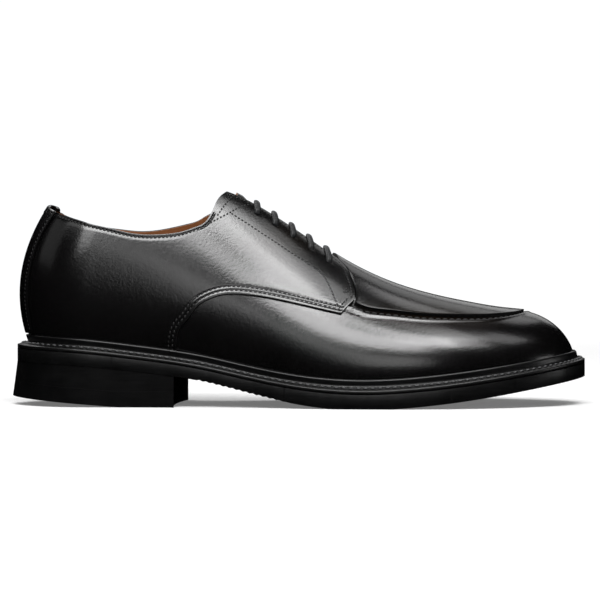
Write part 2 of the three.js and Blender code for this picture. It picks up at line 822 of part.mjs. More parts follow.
// One bar: down into an eyelet, over both facings and down into the other, its middle leaning back
function laceBar(index) {
  const radius = laceThickness / 2;
  const half = (side) => {
    const place = eyeletPlaces(side)[index];
    const hole = lastPoint(place.run, place.turn, side);
    const normal = lastNormal(place.run, place.turn, side);
    const lift = quarterRaise + clearance + radius;
    const crossing = runAlongRidge(lastPoint(place.run, 1, side).x - laceLean, side);
    const edge = turnBesideRidge(crossing, side, gapAt(crossing));
    const flatRun = lerp(place.run, crossing, laceBend.flatShare);
    const towards = skin(flatRun, lerp(place.turn, edge, laceBend.flatShare), side, lift);
    return [
      hole.clone().addScaledVector(normal, quarterRaise - laceDrop),
      hole.clone().addScaledVector(normal, quarterRaise),
      hole.clone().addScaledVector(normal, lift * laceBend.heightShare).lerp(towards, laceBend.startShare),
      towards,
      skin(crossing, edge, side, lift),
    ];
  };
  const path = new THREE.CatmullRomCurve3([...half(OUTER), ...half(INNER).reverse()], false, "centripetal");
  const round = new THREE.Shape().absarc(0, 0, radius, 0, 2 * Math.PI, false);
  return new THREE.ExtrudeGeometry(round, { steps: 18, curveSegments: 3, extrudePath: path });
}

// Assembly

const shoe = new THREE.Group();

function add(name, geometry, color, roughness) {
  const mesh = new THREE.Mesh(geometry, new THREE.MeshStandardMaterial({ color, roughness, metalness: 0 }));
  mesh.name = name;
  shoe.add(mesh);
}

add("upper", upper(), 0x17171a, 0.35);
add("apron", apron(), 0x1a1a1d, 0.35);
add("back_strip", backStrip(), 0x17171a, 0.4);
add("tongue", tongue(), 0x1d1c1e, 0.5);
add("insole", insole(), 0xa8764a, 0.7);
add("welt", weltRing(), 0x121214, 0.6);
add("outsole", outsole(), 0x101012, 0.65);
add("heel_stack", heelStack(), 0x141416, 0.55);
add("top_lift", topLift(), 0x0e0e10, 0.7);
for (let i = 0; i < laceBars; i++) add("lace_bar_" + (i + 1), laceBar(i), 0x2a2a2d, 0.6);

// The origin is on the floor, under the middle of the whole shoe
const extent = new THREE.Box3().setFromObject(shoe);
const middle = extent.getCenter(new THREE.Vector3());
shoe.position.set(-middle.x, -middle.y, 0);

export default shoe;
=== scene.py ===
import math

import bmesh
import bpy
import numpy as np
from bpy.props import FloatProperty, FloatVectorProperty, PointerProperty
from mathutils import Matrix, Vector
from mathutils.kdtree import KDTree


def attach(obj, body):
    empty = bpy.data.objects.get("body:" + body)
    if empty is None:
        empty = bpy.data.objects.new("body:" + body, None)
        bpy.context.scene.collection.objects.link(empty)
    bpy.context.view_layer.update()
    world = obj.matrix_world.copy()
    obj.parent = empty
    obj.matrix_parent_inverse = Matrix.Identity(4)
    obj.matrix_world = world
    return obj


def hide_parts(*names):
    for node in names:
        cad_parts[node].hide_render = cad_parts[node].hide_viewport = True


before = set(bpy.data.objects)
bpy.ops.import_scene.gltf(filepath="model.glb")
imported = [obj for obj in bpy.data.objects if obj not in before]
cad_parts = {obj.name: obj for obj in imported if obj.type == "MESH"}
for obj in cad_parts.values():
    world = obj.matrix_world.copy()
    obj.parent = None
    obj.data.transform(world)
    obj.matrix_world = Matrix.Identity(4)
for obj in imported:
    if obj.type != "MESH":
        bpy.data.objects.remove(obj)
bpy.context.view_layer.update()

bl_info = {
    "name": "Apron-toe derby",
    "version": (1, 0, 0),
    "blender": (4, 5, 0),
    "location": "View3D > Sidebar > Derby",
    "description": "Dresses a right apron-toe derby in calf, lining, thread, lace, welt and sole",
    "category": "Add Mesh",
}

MM = 0.001
OUTER = -1
INNER = 1

# Share of a run or turn over which a slope is taken, and the least that counts
STEP = 1e-4
HAIR = 1e-9

# From the last's own origin, at the back of the feather line, to the part's origin, in millimetres
SHIFT = np.array((-144.129, 2.054, 0.0))

# Sizes of the last, in millimetres, and the powers of its curves
LAST_LENGTH = 283.4
BALL_WIDTH = 90.5
INSTEP_HEIGHT = 79.0
HEEL_PITCH = 21.8
TOE_SPRING = 13.8
HEEL_ROUND = 34.0
HEEL_SQUARENESS = 2.1
TOE_ROUND = 76.0
TOE_SQUARENESS = 2.15
TOE_SLOPE = 30.5
TOE_FULLNESS = 1.9
BACK_CURVE = 14.7
BACK_CURVE_REACH = 45.0
BACK_BULGE_HEIGHT = 28.7
SWELL_PEAK = 4 / 27
TIP_SHARE = 0.998

# Sizes of the upper, in millimetres, its places as shares of the length, and pairs of a share at which
# something starts and its reach
CLEARANCE = 0.3
VAMP_WALL = 2.0
VAMP_LIFT = 0.2
VAMP_CALF = 1.0
GLUE = 0.1
QUARTER_RAISE = 1.4
QUARTER_INSIDE = -0.65
LINING_OUTSIDE = -0.7
LINING_INSIDE = -1.2
QUARTER_LAP = 0.8
FACING_FOOT = 0.5642
FACING_TOP = 0.3196
FACING_GAP = 7.6
FACING_FOOT_OPENING = 4.8
FACING_TOP_OPENING = 1.4
APRON_RAISE = 1.5
APRON_TIP_RAISE = 0.9
APRON_FLATTENS = (0.85, 0.12)
APRON_GAP = 0.6
STRIP_THICKNESS = 1.2
TONGUE_THICKNESS = 1.8
TONGUE_DIP = 1.3
TONGUE_SEAT = 0.8
TONGUE_CROWN = 2.2
TONGUE_TOP = 0.343
TONGUE_FREE_RUN = (0.383, -0.03)
TONGUE_FREE_TURN = (0.8, 0.12)

# Sizes of the lacing, in millimetres, and the first eyelet as a share of the length
LACE_BARS = 5
FIRST_EYELET = 0.39
EYELET_PITCH = 10.55
EYELET_INSET = 4.6
EYELET_SPREAD = 2.6
EYELET_BORE = 3.6
LACE_WIDTH = 3.5
LACE_THICKNESS = 2.1
LACE_LEAN = 1.0
LACE_PRESS = 0.6

# Relief of the leather round its seams and the rows of stitches, in millimetres, and pairs of a share of
# the length at which something starts and its reach
CHANNEL_WIDTH = 2.7
CHANNEL_TIP_WIDTH = 1.7
CHANNEL_DEPTH = 0.6
CHANNEL_LIP = 0.35
CHANNEL_LIP_WIDTH = 1.1
CHANNEL_LIP_PLACE = 0.75
CHANNEL_INSIDE = 2.5
CHANNEL_INSIDE_SLOPE = 1.2
CHANNEL_SLOPE = 0.7
CHANNEL_NARROWS = (0.86, 0.14)
CHANNEL_STARTS = (0.56, 0.02)
SEAM_FIRST_ROW = 1.85
SEAM_SECOND_ROW = 3.85
ROW_SINK = 0.22
ROW_SINK_WIDTH = 0.55
SEAM_PITCH = 2.4
APRON_STITCH_PITCH = 3.7
COLLAR_ROW = 1.6
FRONT_ROW = 1.8
STRIP_ROW = 1.3

# The fold of the back strip over the collar, in millimetres, its width as a share of the strip's, its turn
# in half circles and its way down, each at shares of its way
FOLD_RADIUS = 2.45
FOLD_INSIDE = FOLD_RADIUS - STRIP_THICKNESS
FOLD_WIDTH = 0.55
FOLD_MIDDLE = 0.65
FOLD_TURNS = ((0, 0.3, 0.7, 1), (0, 0, 1, 1))
FOLD_REACH = ((0, 0.3, 0.7, 1), (3.5, 0, 0, 5.5))

# Sizes of the sole, in millimetres, and shares of the length, of the ledge and of the flare
SOLE_THICKNESS = 7.6
FLOOR_PRESS = 0.4
WELT_REACH = 7.5
WELT_LIP = 1.5
WELT_LIP_HEIGHT = 7.0
WELT_LEDGE_HEIGHT = 3.5
WELT_LEDGE_EDGE = 2.2
WELT_CLOSES = (0.28, 0.323)
WELT_ROW = 0.45
INSOLE_THICKNESS = 2.5
HEEL_LENGTH = 84.1
BREAST_SKEW = 3.8
BREAST_HOLLOW = 2.5
HEEL_INSET = 0.4
HEEL_FLARE = 2.775
LIFT_FLARE_SHARE = 0.56
FLARE_SHARE = 1 / 3
LIFT_THICKNESS = 8.0
HEEL_JOINT = 0.02
WAIST_TEETH = (90.0, 142.0)
TOOTH_PITCH = 3.4
TOOTH_DEPTH = 0.6
HEEL_FLAT = 28.0
HEEL_RISE = 4.4

# Sections of the last: the first column is the share of its length
SECTION_ROWS = np.array((
    # at, outer, inner, mid, outer fullness, inner fullness, squareness, rise
    (0.0, 0.32, 0.309, 0, 0.1, 0.1, 2.35, 1.224),
    (0.12, 0.324, 0.307, 0, 0.1, 0.11, 2.35, 1.266),
    (0.25, 0.346, 0.29, 0, 0.1, 0.17, 2.25, 1.223),
    (0.4, 0.407, 0.241, 0.011, 0.1, 0.3, 1.95, 1.13),
    (0.5, 0.486, 0.282, 0.022, 0.07, 0.25, 1.8, 0.999),
    (0.6, 0.547, 0.376, 0.033, 0.05, 0.12, 1.85, 0.837),
    (0.7, 0.564, 0.436, 0.039, 0.05, 0.06, 2.05, 0.682),
    (0.8, 0.547, 0.453, 0.039, 0.05, 0.05, 2.2, 0.554),
    (0.9, 0.529, 0.448, 0.039, 0.05, 0.05, 2.25, 0.443),
    (1.0, 0.519, 0.431, 0.039, 0.05, 0.05, 2.2, 0.351),
))

# Run of the outsole's upper face: share of the length, share of the pitch, share of the spring
SEAT_ROWS = np.array((
    (0.0, 1, 0), (0.1, 0.917, 0), (0.2, 0.771, 0), (0.3, 0.583, 0), (0.4, 0.303, 0), (0.5, 0.078, 0),
    (0.6, 0, 0), (0.7, 0, 0.109), (0.8, 0, 0.348), (0.9, 0, 0.659), (1.0, 0, 1),
))

# How far the welt stands out at each side and how thick the outsole is, as shares
MARGIN_ROWS = np.array((
    (0, 1.32, 1.32, 0.84), (0.05, 1.26, 1.2, 0.82), (0.13, 0.99, 0.96, 0.8), (0.28, 0.93, 0.99, 0.76),
    (0.42, 0.96, 1.05, 0.88), (0.53, 1.03, 0.95, 1), (0.66, 1, 0.91, 1), (0.8, 0.93, 0.91, 0.97),
    (0.92, 0.83, 0.83, 0.93), (1, 0.69, 0.69, 0.92),
))

# Lower edge of the quarters, from the front tab back and down: share of the length, turn
SEAM_ROWS = np.array((
    (0.5761, 0.4155), (0.5285, 0.4053), (0.4662, 0.3777), (0.4253, 0.3501), (0.395, 0.3248),
    (0.3709, 0.2999), (0.3511, 0.2714), (0.3353, 0.2427), (0.3255, 0.2219), (0.3085, 0.1702),
    (0.2997, 0.1438), (0.2907, 0.1233), (0.2765, 0.0633), (0.268, 0),
))

# Front edge of the quarters: rise, share of the length, turn
FRONT_ROWS = np.array((
    (0, 0.5761, 0.4155), (0.0833, 0.5895, 0.475), (0.1667, 0.5988, 0.5165), (0.25, 0.6002, 0.55),
    (0.3333, 0.5985, 0.585), (0.5, 0.5935, 0.64), (0.6667, 0.5875, 0.697), (0.8333, 0.5795, 0.76),
    (1, 0.5642, 0.8089),
))

# Top line of the quarters below the facing's corner: outer share and turn, inner share and turn
TOP_ROWS = np.array((
    (0.3098, 0.745, 0.3098, 0.76), (0.308, 0.6605, 0.307, 0.69), (0.3075, 0.605, 0.303, 0.6365),
    (0.301, 0.547, 0.2945, 0.607), (0.2895, 0.5167, 0.282, 0.562), (0.2693, 0.4758, 0.264, 0.5255),
    (0.2374, 0.4383, 0.233, 0.4785), (0.1867, 0.4097, 0.1854, 0.432), (0.1408, 0.412, 0.139, 0.42),
    (0.1015, 0.4221, 0.0998, 0.4235), (0.0585, 0.4478, 0.0585, 0.4478), (0.0344, 0.4673, 0.0344, 0.4673),
    (0.012, 0.494, 0.012, 0.494), (0, 0.505, 0, 0.505),
))

# Rear edge of the vamp: turn, share of the length
VAMP_REAR_ROWS = np.array((
    (0, 0.237), (0.1, 0.255), (0.2, 0.283), (0.3, 0.322), (0.38, 0.385), (0.44, 0.47), (0.5, 0.54),
    (0.6, 0.56), (0.8, 0.558), (1, 0.5615),
))

# Edge of the apron: share of the length, turn
APRON_ROWS = np.array((
    (0.5978, 0.5047), (0.6123, 0.4922), (0.6591, 0.4963), (0.7332, 0.5146), (0.7906, 0.5414),
    (0.8523, 0.5833), (0.892, 0.634), (0.9286, 0.6963), (0.9617, 0.775), (0.9781, 0.826), (0.9935, 0.882),
    (1, 0.905),
))

# Side edge of the tongue: share of the length, turn, share of the dip under the vamp
TONGUE_ROWS = np.array((
    (0.326, 0.74, 0), (0.4, 0.68, 0), (0.5, 0.66, 0.1), (0.54, 0.68, 0.95), (0.56, 0.69, 1), (0.598, 0.7, 1),
))

# Half width of the back strip: rise, share of the length
STRIP_ROWS = np.array(((0, 0.0175), (0.5, 0.0185), (0.85, 0.0235), (1, 0.028)))


# Curves through tables and along lines

def curve(x, y):
    """Natural cubic through points, straight beyond them."""
    x, y = np.array(x, float), np.array(y, float)
    step = np.diff(x)
    slope = np.diff(y) / step
    balance = np.eye(len(x))
    load = np.zeros(len(x))
    for i in range(1, len(x) - 1):
        balance[i, i - 1:i + 2] = step[i - 1], 2 * (step[i - 1] + step[i]), step[i]
        load[i] = 6 * (slope[i] - slope[i - 1])
    bend = np.linalg.solve(balance, load)
    first = slope[0] - step[0] * bend[1] / 6
    final = slope[-1] + step[-1] * bend[-2] / 6

    def value(at):
        at = np.asarray(at, float)
        inside = np.clip(at, x[0], x[-1])
        i = np.clip(np.searchsorted(x, inside) - 1, 0, len(x) - 2)
        a = (x[i + 1] - inside) / step[i]
        b = 1 - a
        bent = (a ** 3 - a) * bend[i] + (b ** 3 - b) * bend[i + 1]
        along = a * y[i] + b * y[i + 1] + bent * step[i] ** 2 / 6
        return along + first * np.minimum(at - x[0], 0) + final * np.maximum(at - x[-1], 0)

    return value


def curves(table):
    """A curve for each column of a table over its first column."""
    return [curve(table[:, 0], table[:, i]) for i in range(1, table.shape[1])]


def lerp(a, b, share):
    return a + (b - a) * share


def smooth(share):
    share = np.clip(share, 0, 1)
    return share * share * (3 - 2 * share)


def ramp(value, start, reach):
    """0 up to a start and 1 from a reach beyond it, eased at both ends."""
    return smooth((value - start) / reach)


def travel(points):
    """The way gone along a line at each of its points."""
    return np.concatenate(((0,), np.cumsum(np.linalg.norm(np.diff(points, axis=0), axis=1))))


def along_line(steps, travelled, rows):
    """Rows of numbers that go with a line's points, between those points."""
    return np.stack([np.interp(steps, travelled, rows[:, i]) for i in range(rows.shape[1])], 1)


def dots(by_run, by_turn):
    """Squares and product of the two ways over a surface, by which distances on it are found."""
    return ((p * q).sum(-1) for p, q in ((by_run, by_run), (by_run, by_turn), (by_turn, by_turn)))


def mesh_shares(columns, rows):
    """Share across and share up of each vertex of a grid, in its own order."""
    across, up = np.meshgrid(np.linspace(0, 1, columns + 1), np.linspace(0, 1, rows + 1))
    return across.ravel(), up.ravel()


def solve(rising, target, low, high):
    """Values between low and high at which a rising function passes the targets."""
    target = np.asarray(target, float)
    low = np.full(target.shape, float(low))
    high = np.full(target.shape, float(high))
    for _ in range(40):
        middle = (low + high) / 2
        short = rising(middle) < target
        low = np.where(short, middle, low)
        high = np.where(short, high, middle)
    return (low + high) / 2


# The last's surface

SECTION = curves(SECTION_ROWS)
SEAT_HEEL, SEAT_TOE = curves(SEAT_ROWS)
MARGIN = curves(MARGIN_ROWS)


def share_of(run):
    return (1 - np.cos(np.pi * np.asarray(run, float))) / 2


def run_of(at):
    return np.arccos(1 - 2 * np.clip(at, 0, 1)) / np.pi


def seat_height(at):
    return SOLE_THICKNESS - FLOOR_PRESS + HEEL_PITCH * SEAT_HEEL(at) + TOE_SPRING * SEAT_TOE(at)


def back_lean(height):
    return BACK_CURVE * ((height - BACK_BULGE_HEIGHT) / BACK_CURVE_REACH) ** 2


FEATHER_BACK = back_lean(0)
FEATHER_TIP = FEATHER_BACK + LAST_LENGTH


def seat_at(x):
    return seat_height((x - FEATHER_BACK) / LAST_LENGTH)


def round_off(at):
    heel = np.maximum(0, 1 - at * LAST_LENGTH / HEEL_ROUND)
    toe = np.maximum(0, 1 - (1 - at) * LAST_LENGTH / TOE_ROUND)
    heel_kept = np.maximum(0, 1 - heel ** HEEL_SQUARENESS) ** (1 / HEEL_SQUARENESS)
    return heel_kept * np.maximum(0, 1 - toe ** TOE_SQUARENESS) ** (1 / TOE_SQUARENESS)


def ridge_rise(at):
    return INSTEP_HEIGHT * SECTION[6](at)


def last_point(run, turn, side):
    """A place on the last, in millimetres from the last's own origin."""
    run, turn, side = np.broadcast_arrays(np.asarray(run, float), turn, side)
    outer_width, inner_width, mid, outer_full, inner_full, square, rise = (f(share_of(run)) for f in SECTION)
    at = share_of(run)
    climb = np.maximum(0, np.sin(turn * np.pi / 2)) ** (2 / square)
    spread = np.maximum(0, np.cos(turn * np.pi / 2)) ** (2 / square)
    half = BALL_WIDTH * np.where(side < 0, outer_width, inner_width) * round_off(at)
    full = np.where(side < 0, outer_full, inner_full)
    swell = full * climb * (1 - climb) ** 2 / SWELL_PEAK
    toe_bow = np.maximum(0, 1 - climb ** TOE_FULLNESS) ** (1 / TOE_FULLNESS)
    toe_x = FEATHER_TIP - TOE_SLOPE * (1 - toe_bow)
    return np.stack((
        lerp(back_lean(ridge_rise(0) * climb), toe_x, at),
        BALL_WIDTH * mid + side * half * (spread + swell),
        seat_height(at) + CLEARANCE + INSTEP_HEIGHT * rise * climb,
    ), -1)


def unit(vectors):
    return vectors / np.maximum(np.linalg.norm(vectors, axis=-1, keepdims=True), 1e-12)


def side_normal(run, turn, side):
    low, high = np.maximum(0, run - STEP), np.minimum(1, run + STEP)
    along = last_point(high, turn, side) - last_point(low, turn, side)
    foot, top = np.maximum(0, turn - STEP), np.minimum(1, turn + STEP)
    up = last_point(run, top, side) - last_point(run, foot, side)
    return unit(np.cross(along, up) * -np.asarray(side, float)[..., None])


def last_normal(run, turn, side):
    """Outward normal, evened out where the two sides meet."""
    run, turn, side = np.broadcast_arrays(np.asarray(run, float), np.asarray(turn, float), side)
    inside = (run > HAIR) & (run < 1 - HAIR) & (turn < 1 - HAIR)
    outer, inner = (side_normal(run, turn, np.full(run.shape, each)) for each in (OUTER, INNER))
    normal = np.where(inside[..., None], side_normal(run, turn, side), unit(outer + inner))
    tip = (run > TIP_SHARE) & (turn > TIP_SHARE)
    return np.where(tip[..., None], np.array((0.0, 0.0, 1.0)), normal)


def skin(run, turn, side, offset=0.0):
    return last_point(run, turn, side) + last_normal(run, turn, side) * np.asarray(offset)[..., None]


def slopes(run, turn, side):
    """How the last's surface moves along the run and up the turn."""
    low, high = np.maximum(0, run - STEP), np.minimum(1, run + STEP)
    by_run = (last_point(high, turn, side) - last_point(low, turn, side)) / (high - low)[..., None]
    foot, top = np.maximum(0, turn - STEP), np.minimum(1, turn + STEP)
    by_turn = (last_point(run, top, side) - last_point(run, foot, side)) / (top - foot)[..., None]
    return by_run, by_turn


def turn_at_height(run, height):
    at = share_of(run)
    climb = np.minimum(1, height / ridge_rise(at))
    return np.arcsin(climb ** (SECTION[5](at) / 2)) * 2 / np.pi


def turn_beside_ridge(run, side, distance):
    run, side, distance = np.broadcast_arrays(np.asarray(run, float), side, np.asarray(distance, float))
    ridge = last_point(run, 1.0, side)[..., 1]
    return solve(lambda turn: side * (ridge - last_point(run, turn, side)[..., 1]), -distance, 0.5, 1)


def metres(points):
    return (points + SHIFT) * MM


# Places of the panels

VAMP_REAR, = curves(VAMP_REAR_ROWS)
FRONT_AT, FRONT_TURN = curves(FRONT_ROWS)
APRON_EDGE = curve(run_of(APRON_ROWS[:, 0]), APRON_ROWS[:, 1])
FRONT_BY_TURN = curve(FRONT_ROWS[2:, 2], FRONT_ROWS[2:, 1])
TONGUE_TURN, TONGUE_FALL = curves(TONGUE_ROWS)
STRIP_EDGE, = curves(STRIP_ROWS)


def strand(run, turn, side):
    """A smooth line over the last through places on it, run at an even pace."""
    knots = last_point(run, turn, side)
    travelled = travel(knots)
    run_along = curve(travelled, run)
    turn_along = curve(travelled, turn)

    def place(share):
        gone = np.asarray(share, float) * travelled[-1]
        return np.maximum(0, run_along(gone)), turn_along(gone)

    return place


SEAM = strand(run_of(SEAM_ROWS[:, 0]), SEAM_ROWS[:, 1], OUTER)


def gap_at(run):
    """Half the gap between the facings, which opens towards the foot and a little towards the top."""
    share = (share_of(run) - FACING_FOOT) / (FACING_TOP - FACING_FOOT)
    return FACING_GAP + FACING_FOOT_OPENING * (1 - share) ** 6 + FACING_TOP_OPENING * share ** 6


def facing_edge(share, side):
    run = run_of(lerp(FACING_FOOT, FACING_TOP, np.asarray(share, float)))
    return run, turn_beside_ridge(run, side, gap_at(run))


def top_line_of(side):
    at, turn = (TOP_ROWS[:, 0], TOP_ROWS[:, 1]) if side == OUTER else (TOP_ROWS[:, 2], TOP_ROWS[:, 3])
    corner_run, corner_turn = facing_edge(1.0, side)
    return strand(np.append(corner_run, run_of(at)), np.append(corner_turn, turn), side)


TOP_LINE = {OUTER: top_line_of(OUTER), INNER: top_line_of(INNER)}

# Columns of faces along the edges of a quarter, and those over which its curved front edge fades out
FACING_COLUMNS = 7
TOP_COLUMNS = 15
SEAM_COLUMNS = 12
QUARTER_COLUMNS = FACING_COLUMNS + TOP_COLUMNS
CURVED_COLUMNS = 4.2


def pick(test, yes, no):
    return tuple(np.where(test, a, b) for a, b in zip(yes, no))


def quarter_top(column, side):
    facing = facing_edge(np.clip(column / FACING_COLUMNS, 0, 1), side)
    share = np.clip((column - FACING_COLUMNS) / TOP_COLUMNS, 0, 1)
    top = pick(side < 0, TOP_LINE[OUTER](share), TOP_LINE[INNER](share))
    return pick(column <= FACING_COLUMNS, facing, top)


def quarter_foot(column):
    seam_run, seam_turn = SEAM(np.clip(column / SEAM_COLUMNS, 0, 1))
    seam_turn = np.where(column >= SEAM_COLUMNS - 1e-6, 0, seam_turn)
    share = np.clip((column - SEAM_COLUMNS) / (QUARTER_COLUMNS - SEAM_COLUMNS), 0, 1)
    feather = lerp(SEAM(1.0)[0], 0, share)
    return pick(column <= SEAM_COLUMNS, (seam_run, seam_turn), (feather, 0 * feather))


# Rise of the quarters' rows of faces, which are closest along the edges
QUARTER_RISE = ((0, 0.22, 0.9, 1), (0, 0.07, 0.965, 1))


def quarter_place(rise, around):
    """Rise from the lower edge, and share from one front edge round the back to the other."""
    rise = np.interp(rise, *QUARTER_RISE)
    side = np.where(around < 0.5, OUTER, INNER)
    column = (1 - np.abs(2 * around - 1)) * QUARTER_COLUMNS
    top_run, top_turn = quarter_top(column, side)
    foot_run, foot_turn = quarter_foot(column)
    kept = np.maximum(0, 1 - column / CURVED_COLUMNS) ** 2
    front_run = run_of(FRONT_AT(rise)) - lerp(run_of(FRONT_AT(0)), run_of(FRONT_AT(1)), rise)
    front_turn = FRONT_TURN(rise) - lerp(FRONT_TURN(0), FRONT_TURN(1), rise)
    run = lerp(foot_run, top_run, rise) + kept * front_run
    turn = lerp(foot_turn, top_turn, rise) + kept * front_turn
    return run, turn, side


APRON_START = run_of(APRON_ROWS[0, 0])


def apron_edge(run):
    return APRON_EDGE(np.maximum(run, APRON_START))


def below_apron(run, turn, side):
    """How far a place lies below the apron's edge, in millimetres."""
    by_run, by_turn = slopes(run, turn, side)
    step = 1e-3
    slant = (apron_edge(run + step) - apron_edge(run - step)) / (2 * step)
    a, b, c = dots(by_run, by_turn)
    steep = (c * slant ** 2 + 2 * b * slant + a) / np.maximum(a * c - b * b, 1e-9)
    return (apron_edge(run) - turn) / np.sqrt(steep)


def vamp_relief(run, turn, side):
    """The channel along the apron and the lip that the vamp's leather makes below it."""
    below = below_apron(run, turn, side)
    width = lerp(CHANNEL_WIDTH, CHANNEL_TIP_WIDTH, ramp(share_of(run), *CHANNEL_NARROWS))
    outside = smooth((below - width + CHANNEL_SLOPE / 2) / CHANNEL_SLOPE)
    channel = smooth((below + CHANNEL_INSIDE) / CHANNEL_INSIDE_SLOPE) * (1 - outside)
    lip = np.exp(-((below - width - CHANNEL_LIP_PLACE) / CHANNEL_LIP_WIDTH) ** 2)
    return ramp(share_of(run), *CHANNEL_STARTS) * (CHANNEL_LIP * lip - CHANNEL_DEPTH * channel)


# Where the vamp's columns of faces are closest: share of the columns, millimetres below the apron's edge
VAMP_COLUMNS = ((0.42, 7.0), (0.66, -0.6), (0.72, -4.0))


def vamp_place(forward, across):
    side = np.where(across < 0.5, OUTER, INNER)
    up = 1 - np.abs(2 * across - 1)
    run = lerp(run_of(VAMP_REAR(up)), 1, forward)
    edge = apron_edge(run)
    pace = np.linalg.norm(slopes(run, edge, side)[1], axis=-1)
    stops = [np.zeros(run.shape)] + [edge - away / pace for _, away in VAMP_COLUMNS] + [np.ones(run.shape)]
    shares = [0] + [share for share, _ in VAMP_COLUMNS] + [1]
    turn = np.ones(run.shape)
    for i in range(len(shares) - 1):
        share = (up - shares[i]) / (shares[i + 1] - shares[i])
        inside = (share >= 0) & (share <= 1)
        turn = np.where(inside, lerp(np.clip(stops[i], 0, 1), np.clip(stops[i + 1], 0, 1), share), turn)
    return lerp(run_of(VAMP_REAR(turn)), 1, forward), turn, side


def apron_rear(turn):
    return run_of(np.maximum(FRONT_BY_TURN(turn), FACING_FOOT) + APRON_GAP / LAST_LENGTH)


def apron_place(forward, across):
    side = np.where(across < 0.5, OUTER, INNER)
    out = np.abs(2 * across - 1)
    edge_rear = apron_rear(APRON_ROWS[0, 1])
    turn = lerp(1, APRON_EDGE(lerp(edge_rear, 1, forward)), out)
    rear = apron_rear(lerp(1, APRON_EDGE(edge_rear), out))
    return lerp(rear, 1, forward), turn, side


def tongue_place(forward, across):
    side = np.where(across < 0.5, OUTER, INNER)
    at = lerp(TONGUE_TOP, TONGUE_ROWS[-1, 0], forward)
    return run_of(at), lerp(1, TONGUE_TURN(at), np.abs(2 * across - 1)), side


def strip_place(rise, around):
    side = np.where(around < 0.5, OUTER, INNER)
    run = run_of(STRIP_EDGE(rise)) * np.abs(2 * around - 1)
    low = turn_at_height(run, WELT_LIP_HEIGHT + STRIP_THICKNESS + 2 * CLEARANCE)
    high = np.zeros(run.shape)
    for each in (OUTER, INNER):
        share = solve(lambda value: -TOP_LINE[each](value)[0], -run, 0.5, 1)
        high = np.where(side == each, TOP_LINE[each](share)[1], high)
    return run, lerp(low, high, rise), side


def run_along_ridge(distance, side):
    """The run at which the ridge has come a distance from the back."""
    return solve(lambda run: last_point(run, 1.0, side)[..., 0], distance, 0.2, 0.9)


def eyelet_places(side):
    first = last_point(run_of(FIRST_EYELET), 1.0, side)
    foot = last_point(run_of(FACING_FOOT), 1.0, side)
    slope = unit(first - foot)
    step = np.arange(LACE_BARS)
    run = run_along_ridge(first[0] + step * EYELET_PITCH * abs(slope[0]), side)
    inset = EYELET_INSET + EYELET_SPREAD * step / (LACE_BARS - 1)
    return run, turn_beside_ridge(run, side, gap_at(run) + inset)


# Making meshes: distances that are closed, in metres, angles from which an edge is rounded or stays
# sharp, and the rings of vertices that a punched hole takes the place of
WELD = 2e-6
SLIVER = 1e-6
RIM_ANGLE = math.radians(50)
CREASE_ANGLE = math.radians(25)
PUNCH_RINGS = 2


def dress(data, name, finish, replaced=(), edge=None):
    """Makes a piece of the shoe from a finished mesh."""
    piece = bpy.data.objects.new(name, data)
    bpy.context.collection.objects.link(piece)
    data.materials.append(finish)
    if edge:
        data.materials.append(edge)
    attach(piece, "root")
    if replaced:
        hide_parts(*replaced)
    return piece


def hand_over(mesh, name, finish, replaced=(), edge=None):
    """Ends the work on a bmesh. The cut edges of a panel may have a finish of their own."""
    data = bpy.data.meshes.new(name)
    for face in mesh.faces:
        face.smooth = True
        if not edge:
            face.material_index = 0
    mesh.to_mesh(data)
    mesh.free()
    return dress(data, name, finish, replaced, edge)


def shaped_grid(columns, rows, outer, height=1.0):
    """A grid whose vertices are moved on to a surface, in metres, with a map as high as is asked."""
    mesh = bmesh.new()
    chart = mesh.loops.layers.uv.new("chart")
    bmesh.ops.create_grid(mesh, x_segments=columns, y_segments=rows, size=0.5, calc_uvs=True)
    order = mesh.verts.layers.int.new("order")
    places = outer(*mesh_shares(columns, rows))
    for i, vert in enumerate(mesh.verts):
        vert.co = places[i]
        vert[order] = i
    for face in mesh.faces:
        for loop in face.loops:
            loop[chart].uv.y *= height
    return mesh, order, places


def close_seams(mesh):
    bmesh.ops.remove_doubles(mesh, verts=mesh.verts[:], dist=WELD)
    bmesh.ops.dissolve_degenerate(mesh, dist=SLIVER, edges=mesh.edges[:])


def round_rims(mesh, reach, segments=2):
    sharp = [e for e in mesh.edges if len(e.link_faces) == 2 and e.calc_face_angle() > RIM_ANGLE]
    bmesh.ops.bevel(
        mesh, geom=sharp, offset=reach * MM, offset_type="OFFSET",
        segments=segments, profile=0.5, affect="EDGES", material=-1, clamp_overlap=True,
    )


def thicken(mesh, order, depth):
    """Gives a sheet its second face, each vertex moved by its own depth, and walls round the rim."""
    first = set(mesh.verts)
    grown = bmesh.ops.extrude_face_region(mesh, geom=mesh.faces[:])
    for vert in grown["geom"]:
        if isinstance(vert, bmesh.types.BMVert):
            vert.co += Vector(depth[vert[order]])
    bmesh.ops.recalc_face_normals(mesh, faces=mesh.faces[:])
    for face in mesh.faces:
        if 0 < sum(vert in first for vert in face.verts) < len(face.verts):
            face.material_index = 1


def punch(mesh, order, columns, centre, radius):
    """Opens a round hole in a shaped grid at the vertex nearest to a place."""
    mesh.verts.ensure_lookup_table()
    nearest = min(mesh.verts, key=lambda vert: (vert.co - centre).length)
    row, column = divmod(nearest[order], columns + 1)
    ring = []
    gone = []
    for vert in mesh.verts:
        up, along = divmod(vert[order], columns + 1)
        reach = max(abs(up - row), abs(along - column))
        if reach < PUNCH_RINGS:
            gone.append(vert)
        elif reach == PUNCH_RINGS:
            ring.append(vert)
    normal = nearest.normal.copy()
    bmesh.ops.delete(mesh, geom=gone, context="VERTS")
    for vert in ring:
        away = vert.co - centre
        away -= normal * away.dot(normal)
        vert.co = centre + away.normalized() * radius + normal * (vert.co - centre).dot(normal)


